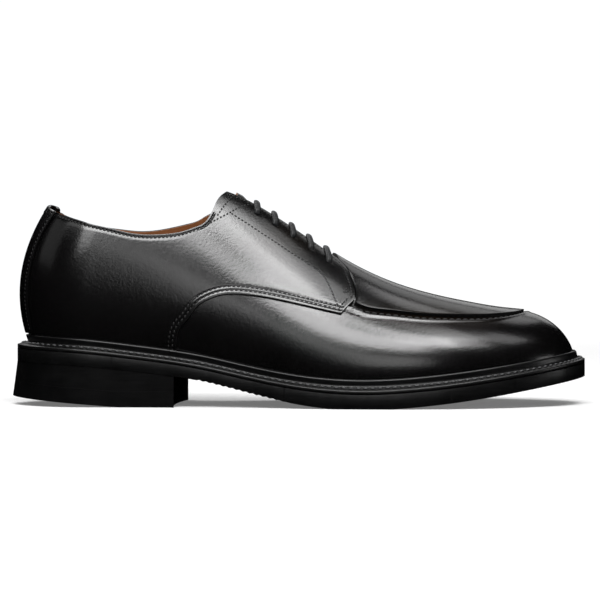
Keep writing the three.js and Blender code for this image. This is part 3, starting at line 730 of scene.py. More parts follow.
def wall(columns, rows, outer, inner, holes=()):
    """A closed wall between two surfaces, each of which gives places for shares across and up."""
    mesh, order, places = shaped_grid(columns, rows, outer)
    depth = inner(*mesh_shares(columns, rows)) - places
    mesh.normal_update()
    for centre in holes:
        punch(mesh, order, columns, centre, EYELET_BORE / 2 * MM)
    close_seams(mesh)
    thicken(mesh, order, depth)
    return mesh


def panel(name, columns, rows, place, outside, inside, finish, slot, rim, segments=2, replaced=(), holes=(),
          edge=None):
    """A closed wall between two offsets from the last, each a number or worked out from the place."""
    def surface(across, up, offset):
        run, turn, side = place(up, across)
        offset = offset(run, turn, side) if callable(offset) else offset
        points = skin(run, turn, side, offset)
        foot = turn < 1e-6
        points[..., 2] = np.where(foot, seat_height(share_of(run)) + CLEARANCE + VAMP_LIFT, points[..., 2])
        return metres(points)

    mesh = wall(columns, rows, lambda a, u: surface(a, u, outside), lambda a, u: surface(a, u, inside), holes)
    if rim:
        round_rims(mesh, rim, segments)
    return hand_over(mesh, name, finish, replaced, edge)


def tube(name, path, outward, width, thickness, sides, finish, replaced=()):
    """An oval tube along points in metres, its flat side outward, closed and narrowed at both ends."""
    tangent = unit(np.gradient(path, axis=0))
    across = unit(np.cross(tangent, outward))
    up = np.cross(across, tangent)
    count = len(path) - 1
    narrowing = np.array((0.45, 0.85, 1.0))

    def point(round_share, along):
        i = np.rint(along * count).astype(int)
        angle = 2 * np.pi * round_share
        end = np.minimum(i, count - i)
        kept = narrowing[np.minimum(end, 2)] / 2
        wide, high = (kept * np.cos(angle) * width)[:, None], (kept * np.sin(angle) * thickness)[:, None]
        return path[i] + wide * across[i] + high * up[i]

    mesh, _, _ = shaped_grid(sides, count, point, float(travel(path)[-1]))
    close_seams(mesh)
    bmesh.ops.holes_fill(mesh, edges=[e for e in mesh.edges if e.is_boundary], sides=0)
    bmesh.ops.recalc_face_normals(mesh, faces=mesh.faces[:])
    return hand_over(mesh, name, finish, replaced)


# Lines over the last, for seams and stitches

def beside(run, turn, side, distance):
    """A line beside another over the last, below it where it runs to the toe, above where to the heel."""
    pieces = 4
    run, turn = np.array(run, float), np.array(turn, float)
    for _ in range(pieces):
        tangent = unit(np.gradient(last_point(run, turn, side), axis=0))
        left = unit(np.cross(last_normal(run, turn, side), tangent)) * (side * distance / pieces)
        by_run, by_turn = slopes(run, turn, side)
        a, b, c = dots(by_run, by_turn)
        p, q = (left * by_run).sum(1), (left * by_turn).sum(1)
        det = a * c - b * b
        run = np.clip(run + (p * c - q * b) / det, 0, 1)
        turn = np.clip(turn + (q * a - p * b) / det, 0, 1)
    return run, turn


def laid(run, turn, side, lift):
    """Points in metres and outward normals of a line at a height over the last."""
    return metres(skin(run, turn, side, lift)), last_normal(run, turn, side)


# Half the way over which a row's course is taken and the lift of the painted shade of a stitch hole, in
# metres, and the heights of a stitch and of that painted shade as shares of their widths
NEAR = 2e-4
HOLE_SHADE_LIFT = 0.05 * MM
THREAD_HEIGHT = 0.8
HOLE_SHADE_HEIGHT = 0.3


class Sewing:
    """Stitches, and dark matt beads of painted shade where the stitch holes are, gathered row by row and made
    in two meshes.
    """

    def __init__(self):
        self.stitches = []
        self.holes = []

    def row(self, line, pitch, stitch, hole, slant, lift=0.0):
        """Sews along points and normals, laying a dark matt bead of painted shade at each stitch hole. Stitch
        and hole are lengths and widths, and the slant turns each stitch across the row, in radians."""
        points, normals = line
        travelled = travel(points)
        count = max(1, int(round(travelled[-1] / pitch)))
        middles = (np.arange(count) + 0.5) * travelled[-1] / count
        before, spot, after = (along_line(middles + away, travelled, points) for away in (-NEAR, 0, NEAR))
        forward = unit(after - before)
        side = unit(np.cross(along_line(middles, travelled, normals), forward))
        normal = np.cross(forward, side)
        forward = forward * math.cos(slant) + side * math.sin(slant)
        side = np.cross(normal, forward)

        def placed(length, width, height, raised):
            middle = spot + normal * raised
            return list(np.stack((forward * length, side * width, normal * height, middle), -1))

        self.stitches += placed(*stitch, stitch[1] * THREAD_HEIGHT, lift)
        # Beside each stitch, a dark matt bead: painted shade of its hole
        self.holes += placed(*hole, hole[1] * HOLE_SHADE_HEIGHT, HOLE_SHADE_LIFT)

    def finish(self, name, slot, thread_finish, hole_shade_finish):
        scatter(name, self.stitches, thread_finish)
        # The stitch holes' painted shade, one piece of dark matt beads
        scatter(name + "_hole_shades", self.holes, hole_shade_finish)


def scatter(name, places, finish):
    """One piece from a small bead set down at many places."""
    bead = bmesh.new()
    lying = Matrix.Rotation(math.pi / 2, 4, "Y")
    bmesh.ops.create_uvsphere(bead, u_segments=8, v_segments=6, radius=0.5, matrix=lying)
    corners = np.array([(*vert.co, 1) for vert in bead.verts])
    faces = [[vert.index for vert in face.verts] for face in bead.faces]
    bead.free()
    placed = np.einsum("nij,kj->nki", np.array(places), corners)
    data = bpy.data.meshes.new(name)
    step = len(corners)
    data.from_pydata(
        placed.reshape(-1, 3).tolist(), [],
        [[index + step * i for index in face] for i in range(len(places)) for face in faces],
    )
    data.polygons.foreach_set("use_smooth", [True] * len(data.polygons))
    return dress(data, name, finish)


# Finishes

class Wire:
    """A socket's value, which can be used in sums."""

    def __init__(self, finish, socket):
        self.finish = finish
        self.socket = socket

    def sum(self, operation, first, second):
        return self.finish.node("ShaderNodeMath", {0: first, 1: second}, operation=operation)

    def __add__(self, other):
        return self.sum("ADD", self, other)

    def __sub__(self, other):
        return self.sum("SUBTRACT", self, other)

    def __rsub__(self, other):
        return self.sum("SUBTRACT", other, self)

    def __mul__(self, other):
        return self.sum("MULTIPLY", self, other)

    __radd__ = __add__
    __rmul__ = __mul__


class Nodes:
    """A tree whose nodes are added one call at a time."""

    def __init__(self, tree):
        self.tree = tree

    def node(self, kind, inputs=None, output=0, **settings):
        node = self.tree.nodes.new(kind)
        for name, value in settings.items():
            setattr(node, name, value)
        for name, value in (inputs or {}).items():
            if isinstance(value, Wire):
                self.tree.links.new(value.socket, node.inputs[name])
            else:
                node.inputs[name].default_value = value
        return Wire(self, node.outputs[output])


class Finish(Nodes):
    """A material of the shoe, or of the floor."""

    def __init__(self, name):
        self.material = bpy.data.materials.new(name)
        self.material.use_nodes = True
        super().__init__(self.material.node_tree)
        self.skin = self.tree.nodes["Principled BSDF"]

    def where(self):
        return self.node("ShaderNodeTexCoord", output="Object")

    def noise(self, vector, scale, detail=3.0, roughness=0.5):
        return self.node("ShaderNodeTexNoise", {
            "Vector": vector, "Scale": scale, "Detail": detail, "Roughness": roughness,
        }, output="Fac")

    def cells(self, vector, scale):
        inputs = {"Vector": vector, "Scale": scale}
        return self.node("ShaderNodeTexVoronoi", inputs, output="Distance", feature="SMOOTH_F1")

    def ranged(self, value, low, high, start=0.0, end=1.0):
        """A value's place between two others, carried over to the same place between two more."""
        return self.node("ShaderNodeMapRange", {
            "Value": value, "From Min": low, "From Max": high, "To Min": start, "To Max": end,
        }, output="Result", clamp=True)

    def blob(self, where, centre, reach):
        """1 at a place and 0 beyond its reach, an ellipsoid."""
        away = self.node("ShaderNodeMapping", {
            "Vector": where, "Location": centre, "Scale": reach,
        }, output="Vector", vector_type="TEXTURE")
        length = self.node("ShaderNodeVectorMath", {0: away}, output="Value", operation="LENGTH")
        return self.ranged(length, 1, 0)

    def tint(self, share, first, second):
        inputs = {"Factor": share, "A": first, "B": second}
        return self.node("ShaderNodeMix", inputs, output="Result", data_type="RGBA")

    def bump(self, height, depth, strength=1.0, normal=None):
        inputs = {"Height": height, "Distance": depth * MM, "Strength": strength}
        if normal:
            inputs["Normal"] = normal
        return self.node("ShaderNodeBump", inputs, output="Normal")

    def set(self, **values):
        """Sets or links the shader's own inputs, named with underscores for spaces."""
        for name, value in values.items():
            socket = self.skin.inputs[name.replace("_", " ")]
            if isinstance(value, Wire):
                self.tree.links.new(value.socket, socket)
            else:
                socket.default_value = value
        return self.material


def shaded(colour, share):
    """A colour made darker or lighter by a share."""
    return tuple(min(1, part * share) for part in colour[:3]) + (1,)


# A brown tint mixed into the calf's colour, and its places and reaches in metres: on the vamp, on the facings
BROWN_TINT = (0.006, 0.0038, 0.0022, 1)
BROWN_TINTED = (
    ((0.066, -0.03, 0.047), (0.055, 0.04, 0.012)),
    ((-0.012, -0.03, 0.085), (0.03, 0.04, 0.014)),
)
CALF_ROUGHNESS = 0.19
CALF_COAT = 0.22


def calf(name, colour):
    """Polished calf: fine cells and pores, and gloss that clouds a little over a hand's breadth."""
    f = Finish(name)
    where = f.where()
    cloud = f.noise(where, 26, 4, 0.55)
    patch = f.noise(where, 95, 3, 0.6)
    pebble = f.cells(where, 1050)
    pore = f.noise(where, 1900, 2, 0.6)
    shade = f.tint(f.ranged(cloud, 0.3, 0.75), colour, shaded(colour, 1.5))
    # The calf's colour turns brown over the vamp and the facings, mottled by the clouds
    vamp, facings = (f.blob(where, *spot) for spot in BROWN_TINTED)
    shade = f.tint(f.ranged((vamp + facings) * (cloud + 0.5), 0, 1), shade, BROWN_TINT)
    grain = f.noise(where, 620, 2, 0.7)
    fine = f.bump(pebble * 0.5 + pore * 0.4 + grain * 1.4, 0.07, 0.6)
    return f.set(
        Base_Color=shade,
        Roughness=CALF_ROUGHNESS + (cloud - 0.5) * 0.1 + (patch - 0.5) * 0.06 + pebble * 0.03,
        Coat_Weight=f.ranged(patch, 0.25, 0.8, CALF_COAT * 0.8, CALF_COAT),
        Coat_Roughness=0.12,
        Specular_IOR_Level=0.5,
        Normal=f.bump(f.noise(where, 48, 2, 0.5), 0.6, 0.12, fine),
    )


def inked(name, colour):
    """The cut edge of the leather, inked and matt."""
    f = Finish(name)
    fibre = f.noise(f.where(), 1500, 3, 0.6)
    return f.set(
        Base_Color=f.tint(fibre, shaded(colour, 0.4), colour),
        Roughness=0.55 + (fibre - 0.5) * 0.2,
        Normal=f.bump(fibre, 0.06, 0.6),
    )


def lining_calf(name, colour):
    """Natural lining leather, matt and a little cloudy."""
    f = Finish(name)
    where = f.where()
    cloud = f.noise(where, 60, 5, 0.6)
    pebble = f.cells(where, 900)
    shade = f.tint(f.ranged(cloud, 0.3, 0.7), shaded(colour, 0.75), colour)
    return f.set(
        Base_Color=shade,
        Roughness=0.5 + (cloud - 0.5) * 0.2,
        Normal=f.bump(pebble + cloud * 0.5, 0.06, 0.5),
    )


def thread(name, colour):
    """Twisted sewing thread."""
    f = Finish(name)
    where = f.where()
    ply = f.node("ShaderNodeTexWave", {"Vector": where, "Scale": 900, "Distortion": 2.0}, output="Fac")
    wear = f.noise(where, 400, 2)
    return f.set(
        Base_Color=f.tint(wear, shaded(colour, 0.6), colour),
        Roughness=0.55 + (wear - 0.5) * 0.2,
        Normal=f.bump(ply, 0.05, 0.5),
    )


def rubber(name, colour, rough, streaks=0.0, shine=0.5):
    """Rubber or inked leather of the sole, with level streaks where it was cut in layers."""
    f = Finish(name)
    where = f.where()
    cloud = f.noise(where, 90, 4, 0.6)
    flat = f.node("ShaderNodeMapping", {"Vector": where, "Scale": (1, 1, 14)}, output="Vector")
    lines = f.noise(flat, 60, 4, 0.65)
    speck = f.noise(where, 1800, 2, 0.6)
    height = speck * 0.5 + lines * streaks
    return f.set(
        Base_Color=f.tint(f.ranged(cloud, 0.3, 0.7), colour, shaded(colour, 1.8)),
        Roughness=rough + (lines - 0.5) * (0.15 + 0.2 * streaks) + (cloud - 0.5) * 0.1,
        Specular_IOR_Level=shine,
        Normal=f.bump(height, 0.08, 0.6),
    )


# Strands round the lace, and the length of one turn of its plait in metres
PLAIT_STRANDS = 3
PLAIT_LENGTH = 0.0032


def plaited(name, colour):
    """A waxed lace, plaited: two crossing twists over its own map, which raise the strands and darken the
    grooves between them with painted shade.
    """
    f = Finish(name)
    chart = f.node("ShaderNodeUVMap", uv_map="chart")
    around = f.node("ShaderNodeSeparateXYZ", {0: chart}, output="X") * PLAIT_STRANDS
    along = f.node("ShaderNodeSeparateXYZ", {0: chart}, output="Y") * (1 / PLAIT_LENGTH)
    one = f.node("ShaderNodeMath", {0: (along + around) * (2 * math.pi)}, operation="SINE")
    two = f.node("ShaderNodeMath", {0: (along - around) * (2 * math.pi)}, operation="SINE")
    weave_and_groove_shade = one * two * 0.5 + 0.5
    wax = f.noise(f.where(), 500, 3)
    return f.set(
        # Colour darker in the plait's grooves: painted shade
        Base_Color=f.tint(weave_and_groove_shade, shaded(colour, 0.45), colour),
        Roughness=0.5 + (wax - 0.5) * 0.25,
        Normal=f.bump(weave_and_groove_shade, 0.22, 0.7),
    )


# White of the air and of the floor far off, radius of the floor and the distances between which it turns
# white, in metres, and its colour and glow near the shoe
AIR_WHITE = 1.05
AIR_COLOUR = (0.97, 0.985, 1, 1)
FLOOR_RADIUS = 40
FLOOR_FADE = (0.35, 1.3)
FLOOR_COLOUR = (0.82, 0.82, 0.82, 1)
FLOOR_GLOW = (0.16, 0.16, 0.16, 1)
BLACK = (0, 0, 0, 1)
WHITE = (1, 1, 1, 1)

# The camera, found from the photo: lens and sensor in millimetres, shift as a share of the frame, place
LENS = 125.28
SENSOR = 36
CAMERA_SHIFT = -17 / 600
CAMERA_PLACE = (0.00037, -1.09795, 0.0634)

# The lamps stand round a place over the floor: name, turn from the camera, height above the floor in
# degrees, width and height in metres, radiance
LAMP_AIM = Vector((0, 0, 0.05))
LAMP_AWAY = 1.6
LAMPS = (
    ("toe key", 20, 56, (0.45, 0.45), 12.5),
    ("heel key", -20, 46, (0.45, 0.45), 11.5),
    ("front key", 0, 46, (0.45, 0.45), 11.0),
    ("front low", 0, 20, (0.45, 0.45), 2.6),
    ("toe middle", 40, 56, (0.45, 0.45), 4.6),
    ("heel low", -20, 34, (0.45, 0.45), 4.2),
    ("heel side", -52, 48, (0.6, 0.6), 1.2),
    ("heel far", -80, 30, (0.9, 0.7), 0.3),
    ("toe top", 50, 66, (0.45, 0.45), 3.8),
    ("toe side", 80, 56, (0.45, 0.45), 2.0),
    ("toe low", 80, 8, (0.45, 0.3), 3.0),
    ("back high", 180, 48, (1.6, 0.6), 0.9),
    ("back top", 160, 70, (0.6, 0.45), 2.4),
    ("back low", 180, 25, (1.6, 0.45), 0.9),
    ("heel top", -140, 70, (0.45, 0.45), 3.4),
    ("back heel", -132, 42, (0.6, 0.5), 6.0),
)


# Settings

class DerbyLooks(bpy.types.PropertyGroup):
    calf_colour: FloatVectorProperty(
        name="Calf colour", description="Colour of the upper's leather", subtype="COLOR", size=4,
        min=0, max=1, default=(0.0014, 0.0013, 0.0014, 1))
    lining_colour: FloatVectorProperty(
        name="Lining colour", description="Colour of the lining and insole", subtype="COLOR", size=4,
        min=0, max=1, default=(0.33, 0.125, 0.045, 1))
    sole_colour: FloatVectorProperty(
        name="Sole colour", description="Colour of the outsole, heel and welt", subtype="COLOR", size=4,
        min=0, max=1, default=(0.0012, 0.0012, 0.0013, 1))
    thread_colour: FloatVectorProperty(
        name="Thread colour", description="Colour of the upper's stitches", subtype="COLOR", size=4,
        min=0, max=1, default=(0.006, 0.006, 0.0065, 1))
    welt_thread_colour: FloatVectorProperty(
        name="Welt thread colour", description="Colour of the welt's stitches", subtype="COLOR", size=4,
        min=0, max=1, default=(0.08, 0.08, 0.084, 1))
    lace_colour: FloatVectorProperty(
        name="Lace colour", description="Colour of the lace", subtype="COLOR", size=4,
        min=0, max=1, default=(0.009, 0.0095, 0.0108, 1))
    stitch_pitch: FloatProperty(
        name="Stitch pitch", description="From one stitch of the upper to the next", unit="LENGTH",
        default=2.05 * MM, min=1 * MM, max=6 * MM)
    stitch_thickness: FloatProperty(
        name="Stitch thickness", description="Thickness of the upper's thread", unit="LENGTH",
        default=0.55 * MM, min=0.2 * MM, max=1.5 * MM)
    welt_stitch_pitch: FloatProperty(
        name="Welt stitch pitch", description="From one stitch of the welt to the next", unit="LENGTH",
        default=3.7 * MM, min=2 * MM, max=8 * MM)


class Piece:
    """What the operators of the shoe's pieces share."""
    bl_options = {"REGISTER", "UNDO"}

    def execute(self, context):
        self.make(context.scene.derby)
        return {"FINISHED"}


def finish_named(name, maker, *args, **kwargs):
    found = bpy.data.materials.get(name)
    return found if found else maker(name, *args, **kwargs)


def upper_calf(looks):
    return finish_named("black calf", calf, tuple(looks.calf_colour))


def edge_finish(looks):
    return finish_named("inked edge", inked, tuple(looks.calf_colour))


def lining_finish(looks):
    return finish_named("tan lining", lining_calf, tuple(looks.lining_colour))


def line_tree(lines, side):
    """Places of lines, a quarter of a millimetre apart, for finding how near they are."""
    spots = []
    for run, turn in lines:
        knots = last_point(run, turn, side)
        travelled = travel(knots)
        spots += list(along_line(np.arange(0, travelled[-1], 0.25), travelled, knots))
    tree = KDTree(len(spots))
    for i, spot in enumerate(spots):
        tree.insert(spot, i)
    tree.balance()
    return tree


def seam_lines(side):
    seam = SEAM(np.linspace(0.004, 0.985, 200))
    return [beside(*seam, side, away) for away in (SEAM_FIRST_ROW, SEAM_SECOND_ROW)]


def collar_line(side):
    return beside(*TOP_LINE[side](np.linspace(0.14, 0.965, 200)), side, -COLLAR_ROW)


def table_line(rows, side):
    """A line through places given as shares of the length and turns."""
    at, turn = np.array(rows).T
    return strand(run_of(at), turn, side)(np.linspace(0, 1, 60))


def front_line(side):
    rise = np.linspace(0.15, 0.93, 60)
    front = beside(run_of(FRONT_AT(rise)), FRONT_TURN(rise), side, -FRONT_ROW)
    facing = beside(*facing_edge(np.linspace(0.035, 0.985, 120), side), side, -FRONT_ROW)
    return tuple(np.concatenate(pair) for pair in zip(front, facing))


# Rows of stitches across the quarter, each of them places given as share of the length and turn: down
# the facing and back to the tab, two rows that cross the top corner, and three tacks at the front
QUARTER_ROWS = (
    (
        (0.3417, 0.6715), (0.3952, 0.6522), (0.4483, 0.639), (0.4839, 0.629), (0.5191, 0.6177),
        (0.5385, 0.5905), (0.5514, 0.5412), (0.5605, 0.4963), (0.5668, 0.4625), (0.5747, 0.4366),
    ),
    ((0.2998, 0.5141), (0.3229, 0.6009), (0.3413, 0.6753), (0.3604, 0.7734), (0.3705, 0.8144)),
    ((0.3205, 0.6163), (0.326, 0.705), (0.333, 0.8035)),
    ((0.5828, 0.5782), (0.5846, 0.537)),
    ((0.5782, 0.5712), (0.58, 0.531)),
    ((0.5752, 0.4552), (0.5868, 0.5075)),
)


def quarter_lines(side):
    return [collar_line(side), front_line(side)] + [table_line(rows, side) for rows in QUARTER_ROWS]


class DERBY_OT_vamp(Piece, bpy.types.Operator):
    """Makes the vamp, from under the quarters to the toe, and its lining"""
    bl_idname = "derby.vamp"
    bl_label = "Vamp"

    def make(self, looks):
        panel("vamp", 128, 180, vamp_place, vamp_relief, -VAMP_CALF, upper_calf(looks), "black_leather",
              rim=0.3, replaced=("upper",))
        panel("vamp_lining", 60, 60, vamp_place, -VAMP_CALF - GLUE, -VAMP_WALL, lining_finish(looks),
              "tan_leather", rim=0)


class DERBY_OT_quarters(Piece, bpy.types.Operator):
    """Makes the quarters with their punched eyelets, and the lining inside them"""
    bl_idname = "derby.quarters"
    bl_label = "Quarters"

    def make(self, looks):
        holes = []
        for side in (OUTER, INNER):
            run, turn = eyelet_places(side)
            holes.extend(Vector(point) for point in metres(skin(run, turn, side, QUARTER_RAISE)))
        trees = {side: line_tree(seam_lines(side) + [collar_line(side)], side) for side in (OUTER, INNER)}

        def sewn(run, turn, side):
            near = [trees[int(s)].find(point)[2] for point, s in zip(last_point(run, turn, side), side)]
            return QUARTER_RAISE - ROW_SINK * np.exp(-(np.array(near) / ROW_SINK_WIDTH) ** 2)

        grid = 2 * QUARTER_COLUMNS * 10, 62, quarter_place
        panel("quarters", *grid, sewn, QUARTER_INSIDE, upper_calf(looks), "black_leather", rim=0.4,
              segments=3, replaced=("upper",), holes=holes, edge=edge_finish(looks))
        panel("quarter_lining", *grid, LINING_OUTSIDE, LINING_INSIDE, lining_finish(looks), "tan_leather",
              rim=0.2, holes=holes)


class DERBY_OT_apron(Piece, bpy.types.Operator):
    """Makes the raised apron over the vamp"""
    bl_idname = "derby.apron"
    bl_label = "Apron"

    def make(self, looks):
        def crown(run, turn, side):
            return lerp(APRON_RAISE, APRON_TIP_RAISE, ramp(share_of(run), *APRON_FLATTENS))

        panel("apron_panel", 80, 110, apron_place, crown, -CHANNEL_DEPTH, upper_calf(looks), "black_leather",
              rim=0.45, segments=3, replaced=("apron",), edge=edge_finish(looks))


class DERBY_OT_back_strip(Piece, bpy.types.Operator):
    """Makes the strip over the seam at the back"""
    bl_idname = "derby.back_strip"
    bl_label = "Back strip"

    def make(self, looks):
        panel("heel_strip", 24, 60, strip_place, QUARTER_RAISE + CLEARANCE + STRIP_THICKNESS, QUARTER_RAISE,
              upper_calf(looks), "black_leather", rim=0.4, replaced=("back_strip",))

        def fold(across, up, radius):
            """The strip's end, which runs up the outside, round the collar's edge and down the lining."""
            run, turn, side = strip_place(np.ones(up.shape), lerp(0.5, up, FOLD_WIDTH))
            normal = last_normal(run, turn, side)
            rise = unit(slopes(run, turn, side)[1])
            angle = np.interp(across, *FOLD_TURNS)[:, None] * np.pi
            down = np.interp(across, *FOLD_REACH)[:, None]
            middle = last_point(run, turn, side) + normal * FOLD_MIDDLE - rise * down
            return metres(middle + (normal * np.cos(angle) + rise * np.sin(angle)) * radius)

        mesh = wall(28, 24, lambda a, u: fold(a, u, FOLD_RADIUS), lambda a, u: fold(a, u, FOLD_INSIDE))
        round_rims(mesh, 0.35)
        hand_over(mesh, "heel_strip_fold", upper_calf(looks))


class DERBY_OT_tongue(Piece, bpy.types.Operator):
    """Makes the tongue under the facings"""
    bl_idname = "derby.tongue"
    bl_label = "Tongue"

    def make(self, looks):
        def top(run, turn, side):
            free = ramp(share_of(run), *TONGUE_FREE_RUN) * ramp(turn, *TONGUE_FREE_TURN)
            return -QUARTER_LAP - TONGUE_SEAT - TONGUE_DIP * TONGUE_FALL(share_of(run)) + TONGUE_CROWN * free

        def foot(run, turn, side):
            return top(run, turn, side) - TONGUE_THICKNESS

        panel("tongue_leather", 40, 80, tongue_place, top, foot, upper_calf(looks), "black_leather", rim=0.5,
              replaced=("tongue",), edge=lining_finish(looks))


def feather_out(run, side, distance):
    normal = last_normal(run, 0 * run, side)
    normal[..., 2] = 0
    return last_point(run, 0 * run, side) + unit(normal) * np.asarray(distance)[..., None]


def sole_reach(run, side):
    at = share_of(run)
    return WELT_REACH * np.where(side < 0, MARGIN[0](at), MARGIN[1](at))


def sole_edge(run, side, inset=0.0):
    return feather_out(run, side, sole_reach(run, side) - inset)


SOLE_BACK = sole_edge(np.array((0.0,)), np.array((OUTER,)))[0, 0]


def sole_underside(x):
    at = np.clip((x - FEATHER_BACK) / LAST_LENGTH, 0, 1)
    return np.maximum(0, seat_at(x) - SOLE_THICKNESS * MARGIN[2](at))


def waist_teeth(x):
    """How much the small teeth under the waist cut into the outsole."""
    start, end = WAIST_TEETH
    tooth = np.abs((x - start) / TOOTH_PITCH % 1 * 2 - 1)
    return TOOTH_DEPTH * tooth * smooth((x - start) / TOOTH_PITCH) * smooth((end - x) / (4 * TOOTH_PITCH))


def plate(name, columns, rows, outline, top, bottom, finish, slot, replaced, rim, segments=2, hollow=0.0,
          foot=None):
    """A plate between two heights. Its outline goes for both faces, unless its foot has one of its own."""
    def surface(across, along, height, outline):
        outer = outline(along, np.full(along.shape, OUTER))
        inner = outline(along, np.full(along.shape, INNER))
        point = lerp(outer, inner, across[:, None])
        point[:, 0] -= hollow * along ** 6 * (1 - (2 * across - 1) ** 2)
        point[:, 2] = height(point[:, 0])
        return metres(point)

    mesh = wall(columns, rows, lambda a, u: surface(a, u, top, outline),
                lambda a, u: surface(a, u, bottom, foot or outline))
    round_rims(mesh, rim, segments)
    piece = hand_over(mesh, name, finish, replaced)
    piece.data.set_sharp_from_angle(angle=CREASE_ANGLE)


class DERBY_OT_insole(Piece, bpy.types.Operator):
    """Makes the insole inside the upper"""
    bl_idname = "derby.insole"
    bl_label = "Insole"

    def make(self, looks):
        inset = max(VAMP_WALL, QUARTER_LAP) + CLEARANCE
        plate(
            "insole_leather", 16, 120, lambda run, side: feather_out(run, side, -inset),
            lambda x: seat_at(x) + CLEARANCE + INSOLE_THICKNESS, lambda x: seat_at(x) + CLEARANCE,
            lining_finish(looks), "tan_leather", ("insole",), rim=0.6,
        )


# The places of the ledge's outer edge and of its root among the points of a section of the welt
WELT_EDGE_STATION = 4
WELT_ROOT_STATION = 8


class DERBY_OT_welt(Piece, bpy.types.Operator):
    """Makes the welt, with its lip against the upper and its ledge, and the stitches on the ledge"""
    bl_idname = "derby.welt"
    bl_label = "Welt"

    def make(self, looks):
        finish = finish_named("welt leather", rubber, tuple(looks.sole_colour), rough=0.32)

        def station(run, side):
            at = share_of(run)
            covered = 1 - smooth((at - WELT_CLOSES[0]) / (WELT_CLOSES[1] - WELT_CLOSES[0]))
            away = QUARTER_RAISE * covered + CLEARANCE
            out = last_normal(run, 0 * run, side)
            out[..., 2] = 0
            out = unit(out)

            def inner(height):
                point = skin(run, turn_at_height(run, height), side, away)
                point[..., 2] = seat_at(point[..., 0]) + CLEARANCE + height
                return point

            edge = sole_edge(run, side)

            def edge_at(height, inset=0.0):
                point = edge - out * inset
                point[..., 2] = seat_at(edge[..., 0]) + height
                return point

            middle, top = inner(WELT_LEDGE_HEIGHT), inner(WELT_LIP_HEIGHT)
            root = middle + out * WELT_LIP
            shoulder = top + out * WELT_LIP
            rise = np.array((0, 0, 1.0))
            brim = edge_at(WELT_LEDGE_EDGE)
            return [
                edge_at(CLEARANCE), edge_at(1.0), edge_at(WELT_LEDGE_EDGE - 0.5),
                edge_at(WELT_LEDGE_EDGE - 0.1, 0.15), edge_at(WELT_LEDGE_EDGE, 0.6),
                lerp(brim, root, 0.4) + rise * 0.1, lerp(brim, root, 0.75),
                lerp(brim, root, 0.93) - rise * 0.2,
                root + rise * 0.1, lerp(root, shoulder, 0.35), lerp(root, shoulder, 0.75),
                shoulder - out * 0.12 - rise * 0.3, shoulder - out * 0.5 + rise * 0.05,
                top + out * 0.25 - rise * 0.05, top - rise * 0.35, middle, inner(0.0),
            ]

        stations = 260
        half = np.linspace(0, 1, stations // 2 + 1)
        loops = np.concatenate((
            np.stack(station(half, np.full(half.shape, OUTER)), 1),
            np.stack(station(half[::-1], np.full(half.shape, INNER)), 1)[1:],
        ))
        count = loops.shape[1]

        def point(across, up):
            station_of = np.rint(up * stations).astype(int)
            return metres(loops[station_of, np.rint(across * count).astype(int) % count])

        mesh, _, _ = shaped_grid(count, stations, point)
        close_seams(mesh)
        bmesh.ops.recalc_face_normals(mesh, faces=mesh.faces[:])
        hand_over(mesh, "storm_welt", finish, ("welt",))

        sewing = Sewing()
        row = metres(lerp(loops[:, WELT_EDGE_STATION], loops[:, WELT_ROOT_STATION], WELT_ROW) + (0, 0, 0.1))
        upright = np.tile((0.0, 0.0, 1.0), (len(row), 1))
        # Under each welt stitch a larger dark matt bead paints the shade of its hole
        sewing.row((row, upright), looks.welt_stitch_pitch, (2.3 * MM, 1.3 * MM), (3.1 * MM, 1.7 * MM),
                   slant=0.1, lift=0.1 * MM)
        pale = finish_named("welt thread", thread, tuple(looks.welt_thread_colour))
        sewing.finish("welt_stitches", "black_welt", pale, painted_hole_shade())


class DERBY_OT_outsole(Piece, bpy.types.Operator):
    """Makes the outsole with its eased edge"""
    bl_idname = "derby.outsole"
    bl_label = "Outsole"

    def make(self, looks):
        colour = tuple(looks.sole_colour)
        plate(
            "outsole_slab", 24, 640, sole_edge, seat_at, lambda x: sole_underside(x) + waist_teeth(x),
            finish_named("sole rubber", rubber, colour, rough=0.36, streaks=0.6, shine=0.35),
            "black_sole_rubber", ("outsole",), rim=0.5,
        )


def heel_outline(along, side, flare):
    breast = SOLE_BACK + HEEL_LENGTH + np.where(side > 0, BREAST_SKEW, 0)
    last = solve(lambda run: sole_edge(run, side)[..., 0], breast, 0, 0.6)
    point = sole_edge(last * along, side, HEEL_INSET * smooth(along * 4))
    point[..., 0] -= flare * np.maximum(0, 1 - along / FLARE_SHARE)
    return point


def heel_underside(x):
    flat_from = SOLE_BACK + HEEL_LENGTH - HEEL_FLAT
    return HEEL_RISE * np.maximum(0, (flat_from - x) / (flat_from - SOLE_BACK))


class DERBY_OT_heel(Piece, bpy.types.Operator):
    """Makes the heel's stack, which widens downwards, and its top lift"""
    bl_idname = "derby.heel"
    bl_label = "Heel"

    def make(self, looks):
        def outline(share):
            return lambda along, side: heel_outline(along, side, HEEL_FLARE * share)

        def layers(name):
            colour = tuple(looks.sole_colour)
            return finish_named(name, rubber, colour, rough=0.42, streaks=1.0, shine=0.16)

        shape = {"rim": 0.1, "segments": 1, "hollow": BREAST_HOLLOW}
        plate(
            "heel_block", 16, 90, outline(0), lambda x: sole_underside(x) - HEEL_JOINT,
            lambda x: heel_underside(x) + LIFT_THICKNESS + HEEL_JOINT, layers("heel leather"),
            "black_heel_leather", ("heel_stack",), foot=outline(LIFT_FLARE_SHARE), **shape,
        )
        plate(
            "heel_lift", 16, 90, outline(LIFT_FLARE_SHARE), lambda x: heel_underside(x) + LIFT_THICKNESS,
            heel_underside, layers("lift rubber"), "black_sole_rubber", ("top_lift",), foot=outline(1),
            **shape,
        )


